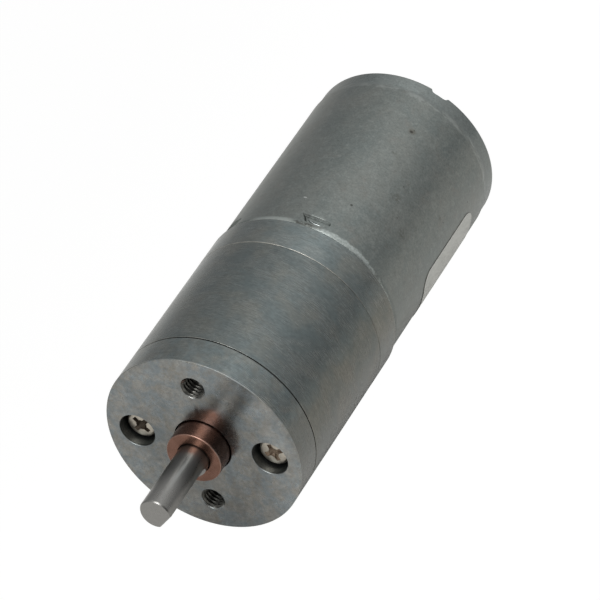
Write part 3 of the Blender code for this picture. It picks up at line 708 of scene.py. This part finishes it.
def label_film():
    p = Paint("label_film", 0.0, 0.5)
    fibre = p.noise(0.22, detail=5, rough=0.75, shift=1.0)
    cloud = p.noise(3.5, detail=3, shift=2.0)
    colour = p.mix(p.ramp(cloud, 0.35, 0.65), (0.345, 0.345, 0.325), (0.39, 0.39, 0.367))
    colour = p.scaled(colour, p.ramp(fibre, 0.25, 0.75, 0.93, 1.07, False))
    p.bumps(fibre, 0.006)
    return p.finish(colour, p.ramp(fibre, 0.3, 0.7, 0.44, 0.56))


def label_edge():
    p = Paint("label_edge", 0.0, 0.6)
    fine = p.noise(0.3, detail=3, shift=1.0)
    colour = p.mix(p.ramp(fine, 0.35, 0.65), (0.12, 0.118, 0.105), (0.2, 0.195, 0.175))
    return p.finish(colour, p.ramp(fine, 0.3, 0.7, 0.5, 0.7))


def ferrite():
    p = Paint("ferrite", 0.0, 0.6)
    fine = p.noise(0.25, detail=5, rough=0.7)
    colour = p.mix(p.ramp(fine, 0.35, 0.65), (0.03, 0.03, 0.032), (0.065, 0.065, 0.068))
    p.bumps(fine, 0.02)
    return p.finish(colour, p.ramp(fine, 0.3, 0.7, 0.5, 0.7))


def carbon():
    p = Paint("carbon", 0.2, 0.5)
    fine = p.noise(0.15, detail=5, rough=0.75)
    colour = p.mix(p.ramp(fine, 0.4, 0.62), (0.022, 0.022, 0.024), (0.08, 0.075, 0.07))
    p.bumps(fine, 0.01)
    return p.finish(colour, p.ramp(fine, 0.3, 0.7, 0.4, 0.6))


def winding_enamel():
    """Turns of enamelled wire: round ridges that run round each coil."""
    p = Paint("winding_enamel", 0.6, 0.3)
    wave = p.node(
        "ShaderNodeTexWave",
        {"Vector": p.place, "Scale": 330.0, "Distortion": 0.6, "Detail": 1.0},
        wave_type="RINGS",
        rings_direction="Y",
    ).outputs["Fac"]
    cloud = p.noise(1.5, detail=3)
    colour = p.mix(p.ramp(cloud, 0.35, 0.65), (0.36, 0.1, 0.035), (0.5, 0.17, 0.06))
    colour = p.scaled(colour, p.ramp(wave, 0.0, 1.0, 0.5, 1.1))
    p.bumps(wave, 0.08)
    return p.finish(colour, p.ramp(cloud, 0.3, 0.7, 0.24, 0.36))


MATTER = {
    "zinc_plate": zinc_plate(),
    "brushed_ring": brushed_ring(),
    "can_steel": can_steel(),
    "shaft_steel": shaft_steel(),
    "screw_nickel": screw_nickel(),
    "sintered_bronze": sintered_bronze(),
    "gear_brass": plain_metal("gear_brass", (0.5, 0.34, 0.12), (0.62, 0.44, 0.18), 0.3, 0.1),
    "gear_steel": plain_metal("gear_steel", (0.2, 0.2, 0.2), (0.3, 0.3, 0.29), 0.36, 0.12),
    "copper": plain_metal("copper", (0.6, 0.28, 0.15), (0.74, 0.4, 0.24), 0.27, 0.1, (1, 12, 1)),
    "winding_enamel": winding_enamel(),
    "ferrite": ferrite(),
    "black_plastic": black_plastic(),
    "carbon": carbon(),
    "label_film": label_film(),
}
THREAD = thread_dark()
# The vent lips' metal: a bare burnished edge, made lighter than the can as a painted highlight
BURNISHED_WITH_HIGHLIGHT = plain_metal("burnished_edge_with_highlight", (0.34, 0.37, 0.365), (0.45, 0.48, 0.475), 0.42, 0.15)
BORE = bore_dark()
SOOT = recess_soot()
LABEL_EDGE = label_edge()
TAB = plain_metal("terminal_tin", (0.36, 0.35, 0.33), (0.52, 0.5, 0.46), 0.3, 0.14, (1, 8, 1))

node_slot = {s["node"]: s["material_slot"] for s in frame["record"]["subparts"]}
for name, obj in frame["nodes"].items():
    obj.data.materials.clear()
    obj.data.materials.append(MATTER[node_slot[name]])


# ---------------------------------------------------------------- front plate
def thread_tool(name, x, z, minor, major, pitch, low, high, phase, steps=56, rows=8):
    """The solid that leaves a threaded hole: its radius winds between minor and major."""
    bm = bmesh.new()
    count = int(round((high - low) / pitch * rows))
    loops = []
    for j in range(count + 1):
        y = low + (high - low) * j / count
        loop = []
        for k in range(steps):
            share = ((y - low) / pitch + k / steps) % 1.0
            wave = min(1.0, max(0.0, 1.25 - abs(share - 0.5) * 3.4))
            r = minor + (major - minor) * wave
            t = 2 * math.pi * k / steps + phase
            loop.append(
                bm.verts.new(((x + r * math.sin(t)) * MM, y * MM, (z + r * math.cos(t)) * MM))
            )
        loops.append(loop)
    for a, b in zip(loops, loops[1:]):
        for k in range(steps):
            n = (k + 1) % steps
            bm.faces.new((a[k], a[n], b[n], b[k]))
    bm.faces.new(loops[0])
    bm.faces.new(list(reversed(loops[-1])))
    return made(name, bm, THREAD)


front_plate = turned(
    "front_plate_shell",
    rounded(
        [
            (3.67, 0.0, 0.02),
            (GEARBOX_R, 0.0, 0.075),
            (GEARBOX_R, PLATE_END - 0.1, 0.04),
            (11.1, PLATE_END - 0.1, 0.0),
            (11.1, 5.2, 0.05),
            (BUSH_R + 0.05, 5.2, 0.0),
            (BUSH_R + 0.05, 0.5, 0.05),
            (3.67, 0.4, 0.05),
        ],
        0.05,
        5,
    ),
    steps=224,
    matter=MATTER["zinc_plate"],
)
tools = []
for number, z in enumerate((8.5, -8.5)):
    tools.append(thread_tool("tap_%d" % number, 0.0, z, 1.27, 1.54, 0.5, -0.35, 5.6, 0.013 + 0.9 * number))
    mouth = turned(
        "mouth_%d" % number,
        [(0, -0.3), (1.86, -0.3), (1.53, 0.02), (1.26, 0.22), (0, 0.22)],
        64,
        False,
        (0.0, z),
        0.02,
        MATTER["zinc_plate"],
    )
    tools.append(mouth)
for side, (x, _) in CASE_SCREWS.items():
    tools.append(
        turned(
            "bore_" + side,
            rounded([(0, -0.4), (2.3, -0.4), (2.3, 2.35, 0.12), (0, 2.35)], 0.0, 3, False),
            96,
            False,
            (x, 0.0),
            0.017,
            BORE,
        )
    )
    tools.append(
        turned(
            "mouth_" + side,
            [(0, -0.3), (2.65, -0.3), (2.355, 0.0), (2.325, 0.035), (2.29, 0.06), (0, 0.06)],
            96,
            False,
            (x, 0.0),
            0.041,
            BORE,
        )
    )
    tools.append(turned("hole_" + side, [(0, 2.0), (1.2, 2.0), (1.2, 6.0), (0, 6.0)], 32, False, (x, 0.0), 0.031, BORE))
for number, at in enumerate(PIN_AT):
    tools.append(turned("pin_%d" % number, [(0, 2.55), (1.04, 2.55), (1.04, 6.0), (0, 6.0)], 32, False, at, 0.023, BORE))
for tool in tools:
    shaped(front_plate, tool)
completed(front_plate, "zinc_plate", "housing", "front_plate")


# ---------------------------------------------------------------- ring and rear plate
housing = turned(
    "gear_housing_shell",
    rounded(
        [
            (HOUSING_INNER_R, PLATE_END + 0.06, 0.03),
            (GEARBOX_R, PLATE_END + 0.06, 0.04),
            (GEARBOX_R, 9.0, 0.0),
            (GEARBOX_R, 13.5, 0.0),
            (GEARBOX_R, 18.0, 0.0),
            (GEARBOX_R - 0.01, RING_END - 0.015, 0.05),
            (HOUSING_INNER_R, RING_END - 0.015, 0.03),
        ],
        0.05,
        4,
    ),
    steps=224,
)
completed(housing, "brushed_ring", "housing", "gear_housing")

rear_plate = turned(
    "rear_plate_shell",
    rounded(
        [
            (3.4, 21.6, 0.05),
            (11.1, 21.6, 0.05),
            (11.1, RING_END + 0.015, 0.0),
            (GEARBOX_R, RING_END + 0.015, 0.075),
            (GEARBOX_R, GEARBOX_END, 0.16),
            (3.4, GEARBOX_END, 0.05),
        ],
        0.05,
        4,
    ),
    steps=224,
    matter=MATTER["brushed_ring"],
)
tools = []
for side, (x, _) in CASE_SCREWS.items():
    tools.append(turned("t_" + side, [(0, 21.0), (1.06, 21.0), (1.06, 25.9), (0, 25.9)], 32, False, (x, 0.0), 0.031))
for number, at in enumerate(PIN_AT):
    tools.append(turned("p_%d" % number, [(0, 21.0), (1.04, 21.0), (1.04, 24.7), (0, 24.7)], 32, False, at, 0.023))
for number, z in enumerate((6.5, -6.5)):
    tools.append(turned("s_%d" % number, [(0, 21.0), (2.35, 21.0), (2.35, 22.3), (0, 22.3)], 48, False, (0.0, z), 0.013))
    tools.append(turned("h_%d" % number, [(0, 22.0), (1.4, 22.0), (1.4, 28.0), (0, 28.0)], 32, False, (0.0, z), 0.027))
for tool in tools:
    shaped(rear_plate, tool)
completed(rear_plate, "brushed_ring", "housing", "rear_plate")


# ---------------------------------------------------------------- bush and output shaft
bush = turned(
    "output_bush_shell",
    rounded(
        [
            (SHAFT_R + 0.05, -BUSH_OUT + 0.1, 0.02),
            (SHAFT_R + 0.13, -BUSH_OUT, 0.03),
            (BUSH_R, -BUSH_OUT, 0.15),
            (BUSH_R, 5.5, 0.1),
            (SHAFT_R + 0.05, 5.5, 0.05),
        ],
        0.05,
        5,
    ),
    steps=144,
)
completed(bush, "sintered_bronze", "housing", "output_bush")

shaft = turned(
    "output_shaft_shell",
    rounded(
        [
            (0, -SHAFT_OUT),
            (SHAFT_R - 0.13, -SHAFT_OUT, 0.03),
            (SHAFT_R, -SHAFT_OUT + 0.19, 0.05),
            (SHAFT_R, 10.9, 0.06),
            (1.0, 10.9, 0.0),
            (1.0, 17.0, 0.1),
            (0, 17.0),
        ],
        0.05,
        4,
        False,
    ),
    steps=128,
    ring=False,
    matter=MATTER["shaft_steel"],
)
# The milled flat: a block whose inner end is a cutter's radius
flat_profile = [
    (-SHAFT_OUT - 1.0, FLAT_HEIGHT - 0.13),
    (-SHAFT_OUT, FLAT_HEIGHT - 0.13),
    (-SHAFT_OUT + 0.19, FLAT_HEIGHT),
    (-FLAT_START - 0.75, FLAT_HEIGHT),
    (-FLAT_START - 0.42, FLAT_HEIGHT + 0.07),
    (-FLAT_START - 0.18, FLAT_HEIGHT + 0.24),
    (-FLAT_START, FLAT_HEIGHT + 0.55),
    (-FLAT_START, FLAT_HEIGHT + 3.0),
    (-SHAFT_OUT - 1.0, FLAT_HEIGHT + 3.0),
]
flat_tool = loft(
    "flat_tool",
    [[(a, y, o) for y, o in flat_profile] for a in (-3.0, 3.0)],
    lambda p: local(FLAT_ANGLE, *p),
    MATTER["shaft_steel"],
)
shaped(shaft, flat_tool)
completed(shaft, "shaft_steel", "output", "output_shaft")


# ---------------------------------------------------------------- case screws
def cross_tool(name, x, top, turn, length, width, depth):
    """One blade of a cross recess, narrower and shorter at its bottom."""
    sections = []
    for share, y in ((-0.25, top - 0.2), (0.0, top), (0.6, top + depth * 0.6), (1.0, top + depth)):
        half_l = max(0.3, length / 2 * (1 - 0.55 * max(0.0, share)))
        half_w = max(0.12, width / 2 * (1 - 0.3 * max(0.0, share)))
        sections.append([(-half_l, y, -half_w), (half_l, y, -half_w), (half_l, y, half_w), (-half_l, y, half_w)])
    obj = loft(name, sections, lambda p: local(turn - 90, *p), SOOT)
    obj.data.transform(Matrix.Translation((x * MM, 0, 0)))
    return obj


for side, (x, turn) in CASE_SCREWS.items():
    top = 1.1
    screw = turned(
        "case_screw_" + side + "_shell",
        rounded(
            [
                (0, top),
                (0.9, top + 0.01, 0.0),
                (1.62, top + 0.06, 0.3),
                (1.88, top + 0.22, 0.12),
                (1.88, top + 0.6, 0.05),
                (1.85, top + 0.7, 0.05),
                (1.85, top + 1.2, 0.08),
                (1.0, top + 1.2, 0.0),
                (1.0, 25.3, 0.0),
                (0.7, 25.6, 0.0),
                (0, 25.6),
            ],
            0.05,
            5,
            False,
        ),
        steps=80,
        ring=False,
        at=(x, 0.0),
        matter=MATTER["screw_nickel"],
    )
    deep = 1.0 if side == "left" else 0.45
    shaped(screw, cross_tool("blade_a", x, top, turn, 2.62, 0.62, deep * 0.9))
    shaped(screw, cross_tool("blade_b", x, top, turn + 90, 2.5, 0.6, deep * 0.9))
    centre = [(0, top - 0.2), (0.72, top - 0.2), (0.62, top + 0.4 * deep), (0.3, top + 0.85 * deep), (0, top + 1.15 * deep)]
    shaped(screw, turned("centre", centre, 32, False, (x, 0.0), 0.1, SOOT))
    completed(screw, "screw_nickel", "housing", "case_screw_" + side)


# ---------------------------------------------------------------- motor can
can = turned(
    "motor_can_shell",
    rounded(
        [
            (1.5, 24.5, 0.05),
            (3.1, 24.5, 0.1),
            (3.1, GEARBOX_END + 0.06, 0.1),
            (CAN_R, GEARBOX_END + 0.06, 0.95),
            (CAN_R, 30.4, 0.0),
            (CAN_R, 35.0, 0.0),
            (CAN_R, 40.0, 0.0),
            (CAN_R, 45.0, 0.0),
            (CAN_R, 50.0, 0.0),
            (CAN_R, CAN_END - 3.0, 1.5),
            (CAN_R - 0.05, CAN_END - 2.55, 1.0),
            (CAN_R - 0.13, CAN_END - 2.0, 1.5),
            (CAN_R - 0.15, CAN_END - 0.9, 0.0),
            (CAN_R - 0.15, CAN_END, 0.22),
            (CAN_INNER_R, CAN_END, 0.1),
            (CAN_INNER_R, 56.6, 0.0),
            (CAN_INNER_R, GEARBOX_END + 1.05, 0.3),
            (2.65, GEARBOX_END + 1.05, 0.1),
            (2.65, 25.2, 0.0),
            (1.5, 25.2, 0.05),
        ],
        0.05,
        6,
    ),
    steps=224,
    matter=MATTER["can_steel"],
)


def vent_pocket(angle):
    """A shallow pressed pocket: a rounded lip and a steep step at the rear, then a level floor."""
    mouth = [(-1.1, 27.9), (1.6, 28.0), (2.08, 28.85), (1.98, 29.38), (-2.1, 29.38)]
    floor = [(-0.85, 28.2), (1.25, 28.2), (1.72, 28.85), (1.6, 29.12), (-1.45, 29.12)]
    sections = []
    for out, share, back in (
        (13.0, 0.0, 0.0),
        (12.215, 0.0, 0.0),
        (12.19, 0.08, 0.19),
        (12.15, 0.18, 0.35),
        (12.08, 0.36, 0.5),
        (11.97, 0.66, 0.73),
        (11.85, 1.0, 1.0),
    ):
        loop = []
        for number, ((a0, y0), (a1, y1)) in enumerate(zip(mouth, floor)):
            s = back if number in (3, 4) else share
            loop.append((a0 + (a1 - a0) * share, y0 + (y1 - y0) * s, out))
        sections.append(loop)
    return loft("pocket", sections, lambda p: local(angle, *p), MATTER["can_steel"])


def lip_line(a):
    """Where the pocket is torn open: a shallow arc that bows to the front."""
    side = a - 0.45
    return 28.2 + (0.27 if side < 0 else 0.2) * side * side


def vent_slit(angle):
    """The crescent-shaped opening behind the pocket's lip."""
    steps = 14
    front, back = [], []
    for k in range(steps + 1):
        t = -1 + 2 * k / steps
        a = 0.15 + 0.98 * t
        front.append((a, lip_line(a) + 0.02))
        back.append((a, lip_line(a) + 0.06 + 0.29 * (1 - t * t)))
    loop = front + list(reversed(back))
    sections = [[(a, y, out) for a, y in loop] for out in (12.9, 11.0)]
    return loft("slit", sections, lambda p: local(angle, *p), BORE)


def vent_lip(angle):
    """The torn edge of the pocket's lip, which curls up a little."""
    steps = 16
    sections = []
    for k in range(steps + 1):
        t = -1 + 2 * k / steps
        a = 0.15 + 1.05 * t
        y = lip_line(a)
        top = 11.92 + 0.17 * (1 - t ** 4)
        sections.append(
            [(a, y - 0.06, 11.4), (a, y + 0.02, 11.4), (a, y + 0.02, top - 0.015), (a, y, top), (a, y - 0.06, top - 0.07)]
        )
    return loft("lip", sections, lambda p: local(angle, *p), BURNISHED_WITH_HIGHLIGHT)


for number, angle in enumerate(VENT_ANGLES):
    shaped(can, vent_pocket(angle))
    shaped(can, vent_slit(angle))
    shaped(can, vent_lip(angle), operation="UNION")
for number, angle in enumerate(NOTCH_ANGLES):
    notch = [(-1.62, 58.6), (-1.6, CAN_END + 0.02), (-1.4, CAN_END - 0.03), (-1.22, CAN_END - 0.12), (-1.1, CAN_END - 0.27)]
    notch += [(-0.99, CAN_END - 0.45), (-0.84, CAN_END - 0.54), (-0.6, CAN_END - 0.58)]
    notch += [(-a, y) for a, y in reversed(notch)]
    shaped(
        can,
        loft(
            "notch",
            [[(a, y, out) for a, y in notch] for out in (10.8, 13.2)],
            lambda p, angle=angle: local(angle, *p),
            MATTER["can_steel"],
        ),
    )
for number, z in enumerate((6.5, -6.5)):
    shaped(can, turned("m_%d" % number, [(0, 26.5), (1.26, 26.5), (1.26, 28.6), (0, 28.6)], 32, False, (0.0, z), 0.013, BORE))
completed(can, "can_steel", "housing", "motor_can")


# ---------------------------------------------------------------- rear end
cap = turned(
    "end_cap_shell",
    rounded(
        [
            (2.65, 55.4, 0.05),
            (11.1, 55.4, 0.1),
            (11.1, 57.15, 0.2),
            (9.9, 57.2, 0.06),
            (9.7, 56.9, 0.06),
            (5.3, 56.9, 0.2),
            (5.1, 58.9, 0.3),
            (3.9, 59.2, 0.12),
            (3.7, 58.95, 0.08),
            (1.6, 58.95, 0.1),
            (1.6, 58.45, 0.05),
            (2.65, 58.45, 0.05),
        ],
        0.05,
        4,
    ),
    steps=160,
    matter=MATTER["black_plastic"],
)
adds, cuts = [], []
for sign in (1, -1):
    # A raised pad with a slot for each terminal, and a window beside each brush
    adds.append(block("pad_%d" % sign, (4.2, 1.2, 2.2), (0.0, 56.7, 8.0 * sign), TERMINAL_ANGLE, 0.22))
    cuts.append(block("slot_%d" % sign, (2.9, 5.0, 0.7), (0.0, 56.8, 8.0 * sign), TERMINAL_ANGLE))
    cuts.append(block("window_%d" % sign, (2.4, 0.9, 1.7), (7.6 * sign, 57.0, 0.0), TERMINAL_ANGLE, 0.15))
for turn in (45, 135, 225, 315):
    adds.append(block("rib_%d" % turn, (0.7, 0.5, 4.2), (0.0, 56.95, 7.3), TERMINAL_ANGLE + turn, 0.12))
for tool in adds:
    shaped(cap, tool, operation="UNION")
for tool in cuts:
    shaped(cap, tool)
completed(cap, "black_plastic", "housing", "end_cap")

bearing = turned(
    "rear_bearing_shell",
    rounded([(1.08, 55.5, 0.1), (2.6, 55.5, 0.1), (2.6, 58.3, 0.25), (1.08, 58.3, 0.12)], 0.05, 4),
    steps=96,
)
completed(bearing, "sintered_bronze", "housing", "rear_bearing")

for sign, side in ((1, "a"), (-1, "b")):
    outline = rounded(
        [(-1.15, 54.8, 0.0), (1.15, 54.8, 0.0), (1.15, 60.9, 0.5), (0.62, 61.8, 0.2), (-0.62, 61.8, 0.2), (-1.15, 60.9, 0.5)],
        0.0,
        4,
    )
    thick = 0.2
    sections = []
    for out, inset in ((-thick, 0.05), (-thick + 0.05, 0.0), (thick - 0.05, 0.0), (thick, 0.05)):
        middle = Vector((0.0, 58.3))
        loop = []
        for a, y in outline:
            away = Vector((a, y)) - middle
            near = Vector((a * (1 - inset / 1.15), middle.y + away.y * (1 - inset / 3.5)))
            loop.append((near.x, near.y, 8.0 * sign + out))
        sections.append(loop)
    blade = loft("terminal_" + side + "_shell", sections, lambda p: local(TERMINAL_ANGLE, *p), TAB)
    hole = []
    for out in (-0.6, -0.24, -0.14, 0.14, 0.24, 0.6):
        r = 0.55 + max(0.0, abs(out) - 0.14)
        hole.append(
            [(r * math.cos(math.tau * k / 32), 60.6 + r * math.sin(math.tau * k / 32), 8.0 * sign + out) for k in range(32)]
        )
    shaped(blade, loft("hole", hole, lambda p: local(TERMINAL_ANGLE, *p), TAB))
    completed(blade, "copper", "housing", "terminal_" + side)


# ---------------------------------------------------------------- label
def label():
    inner, outer = CAN_R + 0.012, CAN_R + 0.065
    start, end = 93.4, 242.0
    low, high, corner = 36.1, 50.7, 2.0
    around = math.radians(end - start) * CAN_R
    ease = [corner * (1 - math.cos(math.radians(90 * k / 12))) for k in range(13)]
    middle = [corner + (around - 2 * corner) * k / 90 for k in range(1, 90)]
    places = ease + middle + [around - c for c in reversed(ease)]
    bm = bmesh.new()
    columns = []
    for s in places:
        near = min(s, around - s, corner)
        inset = corner - math.sqrt(max(0.0, corner**2 - (corner - near) ** 2))
        angle = start + math.degrees(s / CAN_R)
        column = []
        for radius in (inner, outer):
            x, z = polar(radius, angle)
            for share in (0.0, 0.25, 0.5, 0.75, 1.0):
                y = low + inset + (high - low - 2 * inset) * share
                column.append(bm.verts.new((x * MM, y * MM, z * MM)))
        columns.append(column)
    for a, b in zip(columns, columns[1:]):
        for k in range(4):
            bm.faces.new((a[k], b[k], b[k + 1], a[k + 1]))
            bm.faces.new((a[5 + k], a[6 + k], b[6 + k], b[5 + k]))
        for low_row, high_row in ((0, 5), (4, 9)):
            side = bm.faces.new((a[low_row], a[high_row], b[high_row], b[low_row]))
            side.material_index = 1
    for c in (columns[0], columns[-1]):
        side = bm.faces.new((c[0], c[1], c[2], c[3], c[4], c[9], c[8], c[7], c[6], c[5]))
        side.material_index = 1
    obj = made("motor_label_shell", bm, MATTER["label_film"])
    obj.data.materials.append(LABEL_EDGE)
    return completed(obj, "label_film", "housing", "motor_label")


label()

# ---------------------------------------------------------------- stage
floor_z = -GEARBOX_R * MM - 0.00002


def floor(name, size, depth, albedo, glow, tint=(1.0, 1.0, 1.0)):
    bm = bmesh.new()
    bmesh.ops.create_grid(bm, x_segments=8, y_segments=8, size=size)
    obj = made(name, bm, None, False)
    obj.location = (0, 0, floor_z - depth)
    p = Paint(name + "_paint", 0.0, 0.7)
    soft = p.noise(60.0, detail=3)
    colour = p.mix(soft, tuple(albedo * 0.985 * t for t in tint), tuple(albedo * t for t in tint))
    # Painted shadow: the mirrored floor is made darker to the left of the object
    if not glow:
        colour = p.scaled(colour, p.ramp(p.x, -0.05, -0.015, 0.7, 1.0))
    p.shader.inputs["Specular IOR Level"].default_value = 0.0
    if glow:
        p.shader.inputs["Emission Color"].default_value = (1, 1, 1, 1)
        p.shader.inputs["Emission Strength"].default_value = glow
    obj.data.materials.append(p.finish(colour, None))
    return obj


# The floor that the metal mirrors, and the white one that the camera sees just below it
mirrored = floor("floor_lit", 3.0, 0.0, 0.72, 0.0, (1.0, 0.985, 0.955))
mirrored.visible_camera = False
seen = floor("floor_white", 3.0, 0.00003, 0.12, 0.96)

# A white sphere that only the camera sees closes the backdrop above the floor
bm = bmesh.new()
bmesh.ops.create_uvsphere(bm, u_segments=48, v_segments=24, radius=2.9)
backdrop = made("backdrop", bm)
p = Paint("backdrop_paint", 0.0, 0.8)
p.shader.inputs["Specular IOR Level"].default_value = 0.0
p.shader.inputs["Emission Color"].default_value = (1, 1, 1, 1)
p.shader.inputs["Emission Strength"].default_value = 0.99
backdrop.data.materials.append(p.finish(p.scaled((0.01, 0.01, 0.01), p.noise(60.0, detail=2))))
for sheet in (seen, backdrop):
    sheet.visible_glossy = False
    sheet.visible_diffuse = False
    sheet.visible_transmission = False
    sheet.visible_shadow = False

world = bpy.data.worlds.new("studio")
bpy.context.scene.world = world
world.use_nodes = True
tree = world.node_tree
tree.nodes.clear()
links = tree.links


def wnode(kind, inputs=None, **settings):
    found = tree.nodes.new(kind)
    for key, value in settings.items():
        setattr(found, key, value)
    for key, value in (inputs or {}).items():
        if isinstance(value, bpy.types.NodeSocket):
            links.new(value, found.inputs[key])
        else:
            found.inputs[key].default_value = value
    return found


# A soft dome with a brighter strip overhead that runs along Y, and a dark corner front right
direction = wnode("ShaderNodeTexCoord").outputs["Generated"]
split = wnode("ShaderNodeSeparateXYZ", {"Vector": direction})


def wmaths(operation, a, b=0.0):
    return wnode("ShaderNodeMath", {0: a, 1: b}, operation=operation).outputs[0]


def facing(axis, low, high, to_low, to_high):
    lift = wnode("ShaderNodeVectorMath", {0: direction, 1: axis}, operation="DOT_PRODUCT").outputs["Value"]
    return wnode(
        "ShaderNodeMapRange",
        {"Value": lift, "From Min": low, "From Max": high, "To Min": to_low, "To Max": to_high},
        interpolation_type="SMOOTHSTEP",
    ).outputs["Result"]


dome = facing((0.16, 0.05, 0.986), 0.05, 0.85, 0.555, 0.95)
across = wmaths("ARCTAN2", split.outputs["X"], split.outputs["Z"])
away = wmaths("DIVIDE", wmaths("SUBTRACT", across, math.radians(14)), math.radians(30))
strip = wmaths("EXPONENT", wmaths("MULTIPLY", wmaths("MULTIPLY", away, away), -1.0))
dome = wmaths("ADD", dome, wmaths("MULTIPLY", strip, 0.5))
dome = wmaths("MULTIPLY", dome, facing((0.722, -0.674, 0.156), 0.66, 0.93, 1.0, 0.3))
background = wnode("ShaderNodeBackground", {"Color": (0.985, 1.0, 1.0, 1), "Strength": dome})
out = wnode("ShaderNodeOutputWorld", {"Surface": background.outputs[0]})


def softbox(name, place, aim, size, power, colour=(1, 1, 1)):
    light = bpy.data.lights.new(name, "AREA")
    light.shape = "RECTANGLE"
    light.size, light.size_y = size
    light.energy = power
    light.color = colour
    obj = bpy.data.objects.new(name, light)
    bpy.context.scene.collection.objects.link(obj)
    obj.location = place
    away = Vector(aim) - Vector(place)
    obj.rotation_mode = "QUATERNION"
    obj.rotation_quaternion = away.to_track_quat("-Z", "Y")
    return obj


softbox("key_front", (0.0, -0.6, 0.65), (0, 0, 0), (0.4, 0.4), 5.0)

# ---------------------------------------------------------------- camera
camera_data = bpy.data.cameras.new("camera")
camera = bpy.data.objects.new("camera", camera_data)
bpy.context.scene.collection.objects.link(camera)
camera_data.sensor_width = 36.0
camera_data.lens = 256.98
camera_data.clip_start = 0.01
camera_data.clip_end = 20.0
right = Vector((0.8997384, 0.4179193, -0.1257544))
up = Vector((-0.1748566, 0.6091992, 0.7734995))
back = Vector((0.3998699, -0.6739583, 0.6211959))
place = Vector((0.205289, -0.319030, 0.319290))
camera.matrix_world = Matrix(
    (
        (right.x, up.x, back.x, place.x),
        (right.y, up.y, back.y, place.y),
        (right.z, up.z, back.z, place.z),
        (0, 0, 0, 1),
    )
)
bpy.context.scene.camera = camera
bpy.context.scene.view_settings.view_transform = "Standard"
